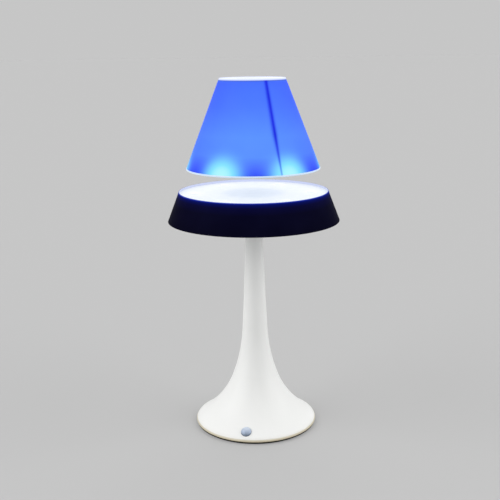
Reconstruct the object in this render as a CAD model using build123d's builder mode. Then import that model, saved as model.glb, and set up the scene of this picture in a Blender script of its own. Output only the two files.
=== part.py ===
from build123d import *
from math import atan2, cos, degrees, radians, sin, tan
import os

# A table lamp whose upper shade floats. A magnet in the shade hangs over a head full of
# coils, which stands on a trumpet-shaped stem and base. Millimetres, +Z up, front is -Y.
# The origin is the middle of the underside.

# Driving sizes of the stand
base_radius = 77.5
neck_radius = 10.4
stem_height = 267.3
lip_height = 2.8
lip_round = 1.6
shell_side_wall = 2.0
shell_top_wall = 1.6
foot_height = 2.0
foot_depth_in_plate = 0.8
foot_width = 8.5
foot_edge_margin = 2.5
plate_thickness = 2.0
plate_inset = 0.9
plate_rim_height = 1.0
plate_rim_width = 1.5
ballast_inset = 20.5
ballast_height = 9.0
ballast_chamfer = 1.2

# Stations of the trumpet from its lip to its neck, hand-chosen, as shares of the radius
# that it loses and of its height. Its outside is three tangent arcs: one through the first,
# second and fourth station, one on to the sixth and one on to the last.
flare_radius_shares = (1.0, 0.716, 0.479, 0.271, 0.157, 0.0855, 0.0)
flare_height_shares = (0.0, 0.053, 0.121, 0.2204, 0.3176, 0.4465, 1.0)

# Driving sizes of the head
skirt_drop = 3.5
lower_shade_height = 36.5
lower_shade_bottom_radius = 106.3
lower_shade_top_radius = 92.2
lower_shade_wall = 0.8
rim_recess = 3.0
head_wall = 2.0
floor_thickness = 2.5
collar_depth = 2.5
collar_wall = 2.4
top_plate_thickness = 2.0

# Driving sizes of the floating shade
float_gap = 27.1
hoop_band_height = 2.0
hoop_proud = 0.5
hoop_flange_height = 4.0
hoop_flange_wall = 1.2
upper_shade_height = 107.4
upper_shade_bottom_radius = 81.6
upper_shade_top_radius = 39.9
upper_shade_wall = 0.5
liner_wall = 0.4
glue_gap = 0.05
seam_angle = -67.5
seam_sweep = 3.6
seam_lap = 0.45
top_hoop_height = 3.0
top_hoop_wall = 1.0
top_hoop_drop = 0.6

# Fits shared by several pieces
part_fit = 0.1
screw_fit = 0.1
seat_gap = 0.2
running_fit = 0.05
float_clearance = 0.3
overrun = 1.0

# Hardware sizes
screw_radius = 1.5
screw_head_radius = 2.8
screw_head_height = 1.6
small_screw_radius = 1.0
small_screw_head_radius = 1.8
small_screw_head_height = 1.0
boss_wall = 1.7
bush_height = 8.0
pipe_radius = 5.0
pipe_bore_radius = 3.6
nut_height = 4.0
nut_radius = 8.6
washer_radius = 9.0
washer_thickness = 1.0
board_thickness = 1.6
hex_sides = 6
lead_sides = 8

# Heights of the stack, from the table up
plate_bottom = foot_height - foot_depth_in_plate
plate_top = plate_bottom + plate_thickness
lip_top = plate_top + lip_height
ballast_radius = base_radius - ballast_inset
ballast_top = plate_top + ballast_height
head_bottom = plate_top + stem_height
floor_top = head_bottom + floor_thickness
lower_shade_bottom = head_bottom - skirt_drop
lower_shade_top = lower_shade_bottom + lower_shade_height
top_plate_top = lower_shade_top - rim_recess
top_plate_bottom = top_plate_top - top_plate_thickness
hoop_bottom = lower_shade_top + float_gap
upper_shade_bottom = hoop_bottom + hoop_band_height
upper_shade_top = upper_shade_bottom + upper_shade_height


def lower_shade_radius(height):
    """Outer radius of the lower shade at a height."""
    share = (height - lower_shade_bottom) / lower_shade_height
    return lower_shade_bottom_radius + share * (lower_shade_top_radius - lower_shade_bottom_radius)


def housing_radius(height):
    """Outer radius of the head's housing, which the lower shade is glued round."""
    return lower_shade_radius(height) - lower_shade_wall - glue_gap


def upper_shade_radius(height):
    """Outer radius of the upper shade at a height."""
    share = (height - upper_shade_bottom) / upper_shade_height
    return upper_shade_bottom_radius + share * (upper_shade_top_radius - upper_shade_bottom_radius)


def band_section(plane, low, low_radius, high, high_radius, wall):
    """Section of a conical band whose wall is measured level."""
    with BuildSketch(plane) as section:
        with BuildLine():
            Polyline(
                (low_radius, low),
                (high_radius, high),
                (high_radius - wall, high),
                (low_radius - wall, low),
                close=True,
            )
        make_face()
    return section.sketch


def trumpet_stations(side, drop):
    """Stations of the trumpet's outline, moved in by side and down by drop."""
    reach = base_radius - neck_radius
    rise = head_bottom - lip_top
    return [
        (neck_radius - side + share * reach, lip_top - drop + high * rise)
        for share, high in zip(flare_radius_shares, flare_height_shares)
    ]


def trumpet_arcs():
    """The trumpet's outline in three tangent arcs, from its lip to its neck."""
    stations = trumpet_stations(0, 0)
    with BuildLine():
        foot_arc = ThreePointArc(stations[0], stations[1], stations[3])
        stem_arc = TangentArc(stations[3], stations[5], tangent=foot_arc % 1)
        neck_arc = TangentArc(stations[5], stations[6], tangent=stem_arc % 1)
    return foot_arc, stem_arc, neck_arc


def trumpet_outside():
    """Half section of the trumpet's outside, closed on the axis."""
    arcs = trumpet_arcs()
    with BuildSketch(Plane.XZ) as section:
        with BuildLine():
            for arc in arcs:
                add(arc)
            Polyline(arcs[2] @ 1, (0, head_bottom), (0, plate_top), (base_radius, plate_top), arcs[0] @ 0)
        make_face()
    return section.sketch


def trumpet_inside(side, drop):
    """Half section inside the trumpet by side and drop, straight from station to station."""
    with BuildSketch(Plane.XZ) as section:
        with BuildLine():
            Polyline(
                (0, plate_top),
                (base_radius - side, plate_top),
                *trumpet_stations(side, drop),
                (neck_radius - side, head_bottom),
                (0, head_bottom),
                close=True,
            )
        make_face()
    return section.sketch


def hex_screw(radius, length, head_radius, head_height):
    """Hidden screw in few faces: seat at the origin, head above it, shank below."""
    with BuildPart() as screw:
        with BuildSketch():
            RegularPolygon(head_radius, hex_sides)
        extrude(amount=head_height)
        with BuildSketch():
            RegularPolygon(radius, hex_sides)
        extrude(amount=-length)
    return screw.part


def hex_nut(bottom, height):
    """Hexagon nut on the lamp's pipe."""
    with BuildPart() as nut:
        with BuildSketch(Plane.XY.offset(bottom)):
            RegularPolygon(nut_radius, hex_sides)
            Circle(pipe_radius + running_fit, mode=Mode.SUBTRACT)
        extrude(amount=height)
    return nut.part


def bend_radii(points, share=0.45):
    """Radius of each corner of a lead, from its shorter run and half its turn."""
    radii = []
    for before, corner, after in zip(points, points[1:], points[2:]):
        first = Vector(*corner) - Vector(*before)
        second = Vector(*after) - Vector(*corner)
        half_turn = radians(first.get_angle(second)) / 2
        radii.append(share * min(first.length, second.length) / tan(half_turn))
    return radii


def lead_along(name, points, radius, radii=None):
    """Round lead swept along straight runs joined by tangent arcs."""
    radii = radii or bend_radii(points)
    with BuildPart() as lead:
        with BuildLine() as route:
            FilletPolyline(*points, radius=radii)
        path = route.wires()[0]
        with BuildSketch(Plane(origin=path @ 0, z_dir=path % 0)) as section:
            RegularPolygon(radius, lead_sides)
        sweep(path=path)
    ratio = lead.part.volume / (section.sketch.area * path.length)
    print(name, "radii", [round(value, 1) for value in radii], "length", round(path.length, 1),
          "volume ratio", round(ratio, 4))
    return lead.part


def save(piece, name):
    """Label a finished piece and write it."""
    piece.part.label = name
    export_step(piece.part, f"parts/{name}.step")


os.makedirs("parts", exist_ok=True)

# Foot ring, a rubber ring let into the base plate
foot_outer_radius = base_radius - foot_edge_margin
foot_inner_radius = foot_outer_radius - foot_width
with BuildPart() as foot_ring:
    with BuildSketch():
        Circle(foot_outer_radius)
        Circle(foot_inner_radius, mode=Mode.SUBTRACT)
    extrude(amount=foot_height)
save(foot_ring, "foot_ring")

# Base plate, which closes the trumpet from below
base_boss_margin = 2.0
base_boss_pitch_radius = foot_inner_radius - screw_head_radius - base_boss_margin
base_boss_count = 4
base_boss_start = 45
base_boss_radius = screw_radius + boss_wall
plate_radius = base_radius - plate_inset
plate_rim_outer = base_radius - shell_side_wall - seat_gap
jack_height = 9.2
jack_boss_radius = 5.6
plate_rim_relief = 1.5
plate_rim_gap = 2 * (jack_boss_radius + plate_rim_relief)
countersink_depth = plate_thickness - foot_depth_in_plate / 2
with BuildPart() as base_plate:
    with BuildSketch(Plane.XY.offset(plate_bottom)):
        Circle(plate_radius)
    extrude(amount=plate_thickness)
    with BuildSketch(Plane.XY.offset(plate_top)):
        Circle(plate_rim_outer)
        Circle(plate_rim_outer - plate_rim_width, mode=Mode.SUBTRACT)
        with Locations((0, base_radius)):
            Rectangle(plate_rim_gap, base_radius, mode=Mode.SUBTRACT)
    extrude(amount=plate_rim_height)
    with BuildSketch(Plane.XY.offset(plate_bottom)):
        Circle(foot_outer_radius + part_fit)
        Circle(foot_inner_radius - part_fit, mode=Mode.SUBTRACT)
    extrude(amount=foot_depth_in_plate, mode=Mode.SUBTRACT)
    with Locations(Plane.XY.offset(plate_bottom)):
        with PolarLocations(base_boss_pitch_radius, base_boss_count, base_boss_start):
            Cone(
                screw_head_radius + screw_fit,
                screw_radius + screw_fit,
                countersink_depth,
                align=(Align.CENTER, Align.CENTER, Align.MIN),
                mode=Mode.SUBTRACT,
            )
            Cylinder(
                screw_radius + screw_fit,
                plate_thickness,
                align=(Align.CENTER, Align.CENTER, Align.MIN),
                mode=Mode.SUBTRACT,
            )
save(base_plate, "base_plate")

# Base screws, countersunk, up into the trumpet's bosses
base_boss_height = 7.5
base_screw_length = plate_thickness + base_boss_height * 0.8
with BuildPart() as base_screws:
    with Locations(Plane.XY.offset(plate_bottom)):
        with PolarLocations(base_boss_pitch_radius, base_boss_count, base_boss_start):
            Cone(
                screw_head_radius,
                screw_radius,
                countersink_depth,
                align=(Align.CENTER, Align.CENTER, Align.MIN),
            )
    with BuildSketch(Plane.XY.offset(plate_bottom)):
        with PolarLocations(base_boss_pitch_radius, base_boss_count, base_boss_start):
            RegularPolygon(screw_radius, hex_sides)
    extrude(amount=base_screw_length)
save(base_screws, "base_screws")

# Where the push button stands on the shoulder of the trumpet, and its own frame
button_angle = -100.5
button_arc_share = 0.1496
button_cap_radius = 6.2
button_hole_clearance = 0.35
button_flange_radius = 6.8
button_flange_depth = 3.0
shoulder_arc = trumpet_arcs()[0]
button_radius = (shoulder_arc @ button_arc_share).X
button_height = (shoulder_arc @ button_arc_share).Y
shoulder_slope = shoulder_arc % button_arc_share
button_lean = degrees(atan2(-shoulder_slope.X, shoulder_slope.Y))
button_out = Vector(
    cos(radians(button_lean)) * cos(radians(button_angle)),
    cos(radians(button_lean)) * sin(radians(button_angle)),
    sin(radians(button_lean)),
)
button_across = Vector(-sin(radians(button_angle)), cos(radians(button_angle)), 0)
button_spot = Vector(
    button_radius * cos(radians(button_angle)),
    button_radius * sin(radians(button_angle)),
    button_height,
)
button_plane = Plane(origin=button_spot, x_dir=button_across, z_dir=button_out)
switch_boss_offset = 9.0
switch_boss_radius = 1.9
switch_board_depth = 8.0
switch_board_thickness = 0.8
switch_board_length = 2 * (switch_boss_offset + switch_boss_radius)
switch_spots = [(-switch_boss_offset, 0), (switch_boss_offset, 0)]

# Where the power inlet sits, low at the back
jack_face_inset = 1.1
jack_face_y = base_radius - jack_face_inset
jack_boss_length = 15.9
jack_barrel_radius = 4.2
jack_barrel_length = 18.4
jack_flange_radius = 5.4
jack_plane = Plane(origin=(0, jack_face_y, jack_height), x_dir=(-1, 0, 0), z_dir=(0, 1, 0))

# Ballast, an iron disc with a pocket for the lower pipe nut and notches for switch and inlet
ballast_pocket_margin = 2.5
ballast_pocket_radius = washer_radius + ballast_pocket_margin
lower_nut_height = 3.0
pipe_foot_gap = 0.5
pipe_thread_end = 0.5
pipe_bottom = plate_top + pipe_foot_gap
lower_nut_bottom = pipe_bottom + pipe_thread_end
lower_washer_bottom = lower_nut_bottom + lower_nut_height
ballast_pocket_top = lower_washer_bottom + washer_thickness
driver_x = 22.0
driver_front_y = 17.0
driver_back_y = 34.0
driver_margin = 4.0
standoff_height = 4.0
standoff_radius = 2.6
driver_screw_depth = 4.0
driver_spots = [(x, y) for x in (-driver_x, driver_x) for y in (driver_front_y, driver_back_y)]
notch_margin = 3.0
switch_notch_reach = 20.3
switch_notch_width = switch_board_length + 2 * notch_margin
jack_notch_reach = 11.0
jack_notch_width = 2 * (jack_barrel_radius + notch_margin)
with BuildPart() as ballast_disc:
    with BuildSketch(Plane.XY.offset(plate_top)):
        Circle(ballast_radius)
        Circle(pipe_radius + part_fit, mode=Mode.SUBTRACT)
    extrude(amount=ballast_height)
    chamfer(ballast_disc.edges().group_by(Axis.Z)[-1].sort_by(SortBy.RADIUS)[-1], ballast_chamfer)
    with BuildSketch(Plane.XY.offset(plate_top)):
        Circle(ballast_pocket_radius)
    extrude(amount=ballast_pocket_top - plate_top, mode=Mode.SUBTRACT)
    with BuildSketch(Plane.XY.offset(ballast_top)):
        with Locations(*driver_spots):
            RegularPolygon(screw_radius + running_fit, hex_sides)
    extrude(amount=-driver_screw_depth - overrun, mode=Mode.SUBTRACT)
    with BuildSketch(Plane.XY.offset(plate_top)):
        with PolarLocations(button_radius - switch_notch_reach + ballast_radius / 2, 1, button_angle):
            Rectangle(ballast_radius, switch_notch_width)
        with Locations((0, jack_face_y - jack_barrel_length - jack_notch_reach + ballast_radius / 2)):
            Rectangle(jack_notch_width, ballast_radius)
    extrude(amount=ballast_height, mode=Mode.SUBTRACT)
save(ballast_disc, "ballast_disc")

# Trumpet shell, stem and base in one moulding
with BuildPart() as trumpet_body:
    revolve(trumpet_outside(), axis=Axis.Z)
    lip_edge = trumpet_body.edges().filter_by_position(Axis.Z, lip_top - part_fit, lip_top + part_fit)
    chamfer(lip_edge, lip_round)
with BuildPart() as trumpet_core:
    revolve(trumpet_inside(shell_side_wall / 2, shell_top_wall / 2), axis=Axis.Z)
with BuildPart() as inside_bosses:
    with BuildSketch(Plane.XY.offset(plate_top)):
        with PolarLocations(base_boss_pitch_radius, base_boss_count, base_boss_start):
            Circle(base_boss_radius)
    extrude(amount=base_radius)
    with BuildSketch(button_plane.offset(-switch_board_depth)):
        with Locations(*switch_spots):
            Circle(switch_boss_radius)
    extrude(amount=switch_board_depth)
    add(trumpet_core.part, mode=Mode.INTERSECT)
with BuildPart() as stem_shell:
    add(trumpet_body.part)
    revolve(trumpet_inside(shell_side_wall, shell_top_wall), axis=Axis.Z, mode=Mode.SUBTRACT)
    with BuildSketch(Plane.XY.offset(head_bottom)):
        Circle(neck_radius - shell_side_wall)
    extrude(amount=-bush_height - shell_top_wall, mode=Mode.SUBTRACT)
    with BuildSketch(button_plane.offset(-button_flange_depth + float_clearance)):
        Circle(button_flange_radius + float_clearance)
    extrude(amount=-switch_board_depth / 2, mode=Mode.SUBTRACT)
    add(inside_bosses.part)
    with BuildSketch(jack_plane):
        Circle(jack_boss_radius)
    extrude(amount=-jack_boss_length)
    with BuildSketch(jack_plane):
        Circle(jack_boss_radius)
    extrude(amount=base_radius, mode=Mode.SUBTRACT)
    with BuildSketch(jack_plane):
        Circle(jack_barrel_radius + part_fit)
    extrude(amount=-jack_boss_length - overrun, mode=Mode.SUBTRACT)
    with BuildSketch(button_plane.offset(-shell_side_wall * 2)):
        Circle(button_cap_radius + button_hole_clearance)
    extrude(amount=base_radius, mode=Mode.SUBTRACT)
    with BuildSketch(Plane.XY.offset(plate_top)):
        with PolarLocations(base_boss_pitch_radius, base_boss_count, base_boss_start):
            RegularPolygon(screw_radius + running_fit, hex_sides)
    extrude(amount=base_boss_height, mode=Mode.SUBTRACT)
    with BuildSketch(button_plane.offset(-switch_board_depth)):
        with Locations(*switch_spots):
            RegularPolygon(small_screw_radius + running_fit, hex_sides)
    extrude(amount=switch_board_depth / 2, mode=Mode.SUBTRACT)
save(stem_shell, "stem_shell")

# Lamp pipe, threaded steel, with a slot where the cable enters
pipe_top_stand = 5.0
pipe_top = floor_top + nut_height + washer_thickness + pipe_top_stand
cable_radius = 1.8
slot_rise = 18.0
slot_bottom = ballast_top + slot_rise
slot_height = 24.0
slot_width = 2 * (cable_radius + float_clearance)
with BuildPart() as lamp_pipe:
    with BuildSketch(Plane.XY.offset(pipe_bottom)):
        Circle(pipe_radius)
        Circle(pipe_bore_radius, mode=Mode.SUBTRACT)
    extrude(amount=pipe_top - pipe_bottom)
    with BuildSketch(Plane.XZ.offset(-pipe_radius * 2)):
        with Locations((0, slot_bottom + slot_height / 2)):
            SlotOverall(slot_height, slot_width, rotation=90)
    extrude(amount=pipe_radius * 2, mode=Mode.SUBTRACT)
save(lamp_pipe, "lamp_pipe")

# Where coils, ring magnet and clamp posts stand round the pipe, one inside the other
coil_count = 4
coil_start = 45
coil_nut_gap = 1.6
bobbin_flange_radius = 11.8
coil_pitch_radius = nut_radius + coil_nut_gap + bobbin_flange_radius
coil_magnet_gap = 3.2
magnet_inner_radius = coil_pitch_radius + bobbin_flange_radius + coil_magnet_gap
magnet_width = 18.0
magnet_outer_radius = magnet_inner_radius + magnet_width
clamp_post_offset = 4.0
clamp_post_radius = 3.2
clamp_post_pitch_radius = magnet_outer_radius + clamp_post_offset

# Chassis plate, a steel disc with four ears that the coils and magnet stand on
chassis_thickness = 2.0
chassis_margin = 1.5
chassis_top = floor_top + chassis_thickness
with BuildPart() as chassis_plate:
    with BuildSketch(Plane.XY.offset(floor_top)):
        Circle(magnet_outer_radius + chassis_margin)
        with PolarLocations(clamp_post_pitch_radius, coil_count, coil_start):
            Circle(clamp_post_radius + chassis_margin)
        Circle(pipe_radius + part_fit, mode=Mode.SUBTRACT)
        with PolarLocations(coil_pitch_radius, coil_count, coil_start):
            RegularPolygon(screw_radius + screw_fit, hex_sides, mode=Mode.SUBTRACT)
        with PolarLocations(clamp_post_pitch_radius, coil_count, coil_start):
            RegularPolygon(screw_radius + screw_fit, hex_sides, mode=Mode.SUBTRACT)
    extrude(amount=chassis_thickness)
save(chassis_plate, "chassis_plate")

# Pipe nuts and washers: under the ballast, on the ballast and on the chassis
upper_washer_bottom = ballast_top
upper_nut_bottom = upper_washer_bottom + washer_thickness
head_washer_bottom = chassis_top
head_nut_bottom = head_washer_bottom + washer_thickness
with BuildPart() as pipe_nuts:
    add(hex_nut(lower_nut_bottom, lower_nut_height))
    add(hex_nut(upper_nut_bottom, nut_height))
    add(hex_nut(head_nut_bottom, nut_height))
save(pipe_nuts, "pipe_nuts")
with BuildPart() as pipe_washers:
    for washer_bottom in (lower_washer_bottom, upper_washer_bottom, head_washer_bottom):
        with BuildSketch(Plane.XY.offset(washer_bottom)):
            Circle(washer_radius)
            Circle(pipe_radius + part_fit, mode=Mode.SUBTRACT)
        extrude(amount=washer_thickness)
save(pipe_washers, "pipe_washers")

# Neck bush, which centres the pipe in the top of the stem
with BuildPart() as neck_bush:
    with BuildSketch(Plane.XY.offset(head_bottom - bush_height)):
        Circle(neck_radius - shell_side_wall - part_fit)
        Circle(pipe_radius + part_fit, mode=Mode.SUBTRACT)
    extrude(amount=bush_height)
    chamfer(neck_bush.edges().group_by(Axis.Z)[0].sort_by(SortBy.RADIUS)[-1], shell_side_wall / 4)
save(neck_bush, "neck_bush")

# Switch under the push button: housing, board and its two screws
switch_size = 5.6
button_travel = 1.5
button_flange_thickness = 0.6
switch_top_depth = button_flange_depth + button_flange_thickness + button_travel + seat_gap
plunger_radius = 1.75
plunger_bore_depth = 2.4
switch_board_width = 6.4
with BuildPart() as switch_housing:
    with BuildSketch(button_plane.offset(-switch_board_depth)):
        Rectangle(switch_size, switch_size)
    extrude(amount=switch_board_depth - switch_top_depth)
    with BuildSketch(button_plane.offset(-switch_top_depth)):
        Circle(plunger_radius + running_fit)
    extrude(amount=-plunger_bore_depth, mode=Mode.SUBTRACT)
save(switch_housing, "switch_housing")
with BuildPart() as switch_board:
    with BuildSketch(button_plane.offset(-switch_board_depth)):
        RectangleRounded(switch_board_length, switch_board_width, switch_boss_radius / 2)
        with Locations(*switch_spots):
            RegularPolygon(small_screw_radius + screw_fit, hex_sides, mode=Mode.SUBTRACT)
    extrude(amount=-switch_board_thickness)
save(switch_board, "switch_board")
switch_screw_seat = button_plane.offset(-switch_board_depth - switch_board_thickness)
switch_screw_plane = Plane(origin=switch_screw_seat.origin, x_dir=button_across, z_dir=-button_out)
switch_screw = hex_screw(small_screw_radius, switch_board_depth / 2, small_screw_head_radius,
                         small_screw_head_height)
with BuildPart() as switch_screws:
    with Locations(switch_screw_plane):
        with Locations(*switch_spots):
            add(switch_screw)
save(switch_screws, "switch_screws")

# Push button: silver dome cap with a flange that holds it in, and its plunger
button_edge_height = 0.9
button_crown = 1.9
plunger_top_depth = 1.0
plunger_engaged = 0.8
crown_radius = (button_cap_radius**2 + button_crown**2) / (2 * button_crown)
with BuildPart() as button_cap:
    with BuildSketch(button_plane.offset(-button_flange_depth - button_flange_thickness)):
        Circle(button_flange_radius)
    extrude(amount=button_flange_thickness)
    with BuildSketch(button_plane.offset(-button_flange_depth)):
        Circle(button_cap_radius)
    extrude(amount=button_flange_depth + button_edge_height + button_crown)
    with Locations(button_plane.offset(button_edge_height + button_crown - crown_radius)):
        Sphere(crown_radius, mode=Mode.INTERSECT)
    with BuildSketch(button_plane.offset(-button_flange_depth - button_flange_thickness)):
        Circle(plunger_radius + running_fit)
    extrude(amount=button_flange_depth + button_flange_thickness - plunger_top_depth, mode=Mode.SUBTRACT)
save(button_cap, "button_cap")
with BuildPart() as switch_plunger:
    with BuildSketch(button_plane.offset(-switch_top_depth - plunger_engaged)):
        Circle(plunger_radius)
    extrude(amount=switch_top_depth + plunger_engaged - plunger_top_depth)
save(switch_plunger, "switch_plunger")

# Power inlet: barrel with a flange, its nut and its centre pin
jack_flange_thickness = 1.0
jack_socket_radius = 3.2
jack_socket_depth = 10.5
jack_pin_radius = 1.05
jack_pin_root_radius = 0.9
jack_pin_root_length = 4.0
jack_pin_recess = 0.8
jack_pin_chamfer = 0.3
jack_nut_height = 2.0
jack_nut_radius = 5.4
jack_socket_bottom = jack_socket_depth - jack_flange_thickness
with BuildPart() as jack_body:
    with BuildSketch(jack_plane):
        Circle(jack_flange_radius)
    extrude(amount=jack_flange_thickness)
    chamfer(jack_body.edges().sort_by(Axis.Y)[-1], jack_flange_thickness / 3)
    with BuildSketch(jack_plane):
        Circle(jack_barrel_radius)
    extrude(amount=-jack_barrel_length)
    with BuildSketch(jack_plane.offset(jack_flange_thickness)):
        Circle(jack_socket_radius)
    extrude(amount=-jack_socket_depth, mode=Mode.SUBTRACT)
    with BuildSketch(jack_plane.offset(-jack_socket_bottom)):
        RegularPolygon(jack_pin_root_radius + running_fit, hex_sides)
    extrude(amount=-jack_pin_root_length, mode=Mode.SUBTRACT)
save(jack_body, "jack_body")
with BuildPart() as jack_nut:
    with BuildSketch(jack_plane.offset(-jack_boss_length)):
        RegularPolygon(jack_nut_radius, hex_sides)
        Circle(jack_barrel_radius + running_fit, mode=Mode.SUBTRACT)
    extrude(amount=-jack_nut_height)
save(jack_nut, "jack_nut")
with BuildPart() as jack_pin:
    with BuildSketch(jack_plane.offset(-jack_socket_bottom)):
        Circle(jack_pin_radius)
    extrude(amount=jack_socket_depth - jack_pin_recess)
    chamfer(jack_pin.edges().sort_by(Axis.Y)[-1], jack_pin_chamfer)
    with BuildSketch(jack_plane.offset(-jack_socket_bottom)):
        RegularPolygon(jack_pin_root_radius, hex_sides)
    extrude(amount=-jack_pin_root_length)
save(jack_pin, "jack_pin")

# Driver board on four brass standoffs, screwed down to the ballast
driver_bottom = ballast_top + standoff_height
driver_top = driver_bottom + board_thickness
driver_length = 2 * (driver_x + driver_margin)
driver_depth = driver_back_y - driver_front_y + 2 * driver_margin
driver_middle_y = (driver_front_y + driver_back_y) / 2
with BuildPart() as driver_standoffs:
    with BuildSketch(Plane.XY.offset(ballast_top)):
        with Locations(*driver_spots):
            RegularPolygon(standoff_radius, hex_sides)
            RegularPolygon(screw_radius + screw_fit, hex_sides, mode=Mode.SUBTRACT)
    extrude(amount=standoff_height)
save(driver_standoffs, "driver_standoffs")
with BuildPart() as driver_board:
    with BuildSketch(Plane.XY.offset(driver_bottom)):
        with Locations((0, driver_middle_y)):
            RectangleRounded(driver_length, driver_depth, driver_margin / 2)
        with Locations(*driver_spots):
            RegularPolygon(screw_radius + screw_fit, hex_sides, mode=Mode.SUBTRACT)
    extrude(amount=board_thickness)
save(driver_board, "driver_board")
driver_screw = hex_screw(screw_radius, board_thickness + standoff_height + driver_screw_depth,
                         screw_head_radius, screw_head_height)
with BuildPart() as driver_screws:
    with Locations(Plane.XY.offset(driver_top)):
        with Locations(*driver_spots):
            add(driver_screw)
save(driver_screws, "driver_screws")

# What is soldered to the driver board: three connectors, a choke, two capacitors, a chip
connector_width = 7.0
connector_depth = 6.0
connector_height = 5.0
driver_front_edge = driver_middle_y - driver_depth / 2
driver_back_edge = driver_middle_y + driver_depth / 2
switch_plug_x = -14.0
cable_plug_y = 18.0
choke_size = 11.0
choke_height = 6.0
choke_x = 13.0
capacitor_radius = 4.0
capacitor_height = 9.0
capacitor_x = -14.0
capacitor_y = 26.0
capacitor_pitch = 8.6
chip_size = 5.0
chip_height = 1.4
connector_spots = [
    (switch_plug_x, driver_front_edge + connector_depth / 2),
    (0, driver_back_edge - connector_depth / 2),
    (0, cable_plug_y),
]
with BuildPart() as driver_components:
    with BuildSketch(Plane.XY.offset(driver_top)):
        with Locations(*connector_spots):
            Rectangle(connector_width, connector_depth)
    extrude(amount=connector_height)
    with BuildSketch(Plane.XY.offset(driver_top)):
        with Locations((choke_x, capacitor_y)):
            RectangleRounded(choke_size, choke_size, choke_size / 4)
    extrude(amount=choke_height)
    with BuildSketch(Plane.XY.offset(driver_top)):
        with Locations((capacitor_x, capacitor_y), (capacitor_x, capacitor_y + capacitor_pitch)):
            Circle(capacitor_radius)
    extrude(amount=capacitor_height)
    with BuildSketch(Plane.XY.offset(driver_top)):
        with Locations((0, capacitor_y)):
            Rectangle(chip_size, chip_size)
    extrude(amount=chip_height)
save(driver_components, "driver_components")

# Leads inside the base, on routes chosen by hand
lead_radius = 1.0
thin_lead_radius = 0.9
plug_middle = driver_top + connector_height * 0.6
jack_lead_points = [
    (0, jack_face_y - jack_barrel_length, jack_height),
    (0, 53.8, jack_height),
    (0, 47.6, plug_middle),
    (0, driver_back_edge, plug_middle),
]
with BuildPart() as jack_lead:
    add(lead_along("jack_lead", jack_lead_points, lead_radius))
save(jack_lead, "jack_lead")
switch_lead_start = button_plane.from_local_coords(
    Vector(0, switch_board_width / 2, -switch_board_depth - switch_board_thickness / 2)
)
switch_lead_rise = button_plane.from_local_coords(
    Vector(0, switch_board_width / 2 + 14.0, -switch_board_depth - switch_board_thickness / 2)
)
switch_lead_points = [
    tuple(switch_lead_start),
    tuple(switch_lead_rise),
    (-15.5, -28.0, 19.0),
    (-17.0, -8.0, 18.4),
    (switch_plug_x, 4.0, plug_middle),
    (switch_plug_x, driver_front_edge, plug_middle),
]
with BuildPart() as switch_lead:
    add(lead_along("switch_lead", switch_lead_points, thin_lead_radius))
save(switch_lead, "switch_lead")

# Head housing: conical tray with a collar for the stem, posts for the light board
housing_top = top_plate_bottom
housing_least_radius = min(housing_radius(floor_top), housing_radius(housing_top)) - head_wall
plate_boss_radius = screw_radius + boss_wall
plate_boss_margin = 3.0
plate_boss_pitch_radius = housing_least_radius - plate_boss_margin - plate_boss_radius
plate_boss_count = 4
plate_boss_start = 45
light_count = 6
light_start = 2
light_board_width = 16.0
light_board_margin = 1.9
light_board_outer = plate_boss_pitch_radius - plate_boss_radius - light_board_margin
light_pitch_radius = light_board_outer - light_board_width / 2
light_board_drop = 6.5
light_board_bottom = top_plate_bottom - light_board_drop
light_post_radius = 3.0
light_post_start = light_start + 180 / light_count
guide_radius = 4.0
with BuildPart() as housing_shell:
    with BuildSketch(Plane.XZ):
        with BuildLine():
            Polyline(
                (pipe_radius + part_fit, head_bottom),
                (housing_radius(head_bottom), head_bottom),
                (housing_radius(housing_top), housing_top),
                (housing_radius(housing_top) - head_wall, housing_top),
                (housing_radius(floor_top) - head_wall, floor_top),
                (pipe_radius + part_fit, floor_top),
                close=True,
            )
        make_face()
    revolve(axis=Axis.Z)
    with BuildSketch(Plane.XY.offset(head_bottom)):
        Circle(neck_radius + seat_gap + collar_wall)
        Circle(neck_radius + seat_gap, mode=Mode.SUBTRACT)
    extrude(amount=-collar_depth)
    with BuildSketch(Plane.XY.offset(floor_top)):
        with PolarLocations(light_pitch_radius, light_count, light_post_start):
            Circle(light_post_radius)
    extrude(amount=light_board_bottom - floor_top)
    with BuildSketch(Plane.XY.offset(light_board_bottom)):
        with PolarLocations(light_pitch_radius, light_count, light_post_start):
            RegularPolygon(small_screw_radius + running_fit, hex_sides)
    extrude(amount=-light_post_radius * 2, mode=Mode.SUBTRACT)
    with BuildSketch(Plane.XY.offset(head_bottom)):
        with PolarLocations(plate_boss_pitch_radius, plate_boss_count, plate_boss_start):
            RegularPolygon(screw_radius + screw_fit, hex_sides)
        with PolarLocations(coil_pitch_radius, coil_count, coil_start):
            RegularPolygon(screw_head_radius + screw_fit, hex_sides)
        with PolarLocations(clamp_post_pitch_radius, coil_count, coil_start):
            RegularPolygon(screw_head_radius + screw_fit, hex_sides)
        with PolarLocations(light_pitch_radius, light_count, light_start):
            Circle(guide_radius + part_fit)
    extrude(amount=floor_thickness, mode=Mode.SUBTRACT)
save(housing_shell, "housing_shell")

# Lower shade, a band of dark blue film glued round the housing
with BuildPart() as lower_shade:
    lower_section = band_section(Plane.XZ, lower_shade_bottom, lower_shade_bottom_radius, lower_shade_top,
                                 lower_shade_top_radius, lower_shade_wall)
    revolve(lower_section, axis=Axis.Z)
save(lower_shade, "lower_shade")

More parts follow.
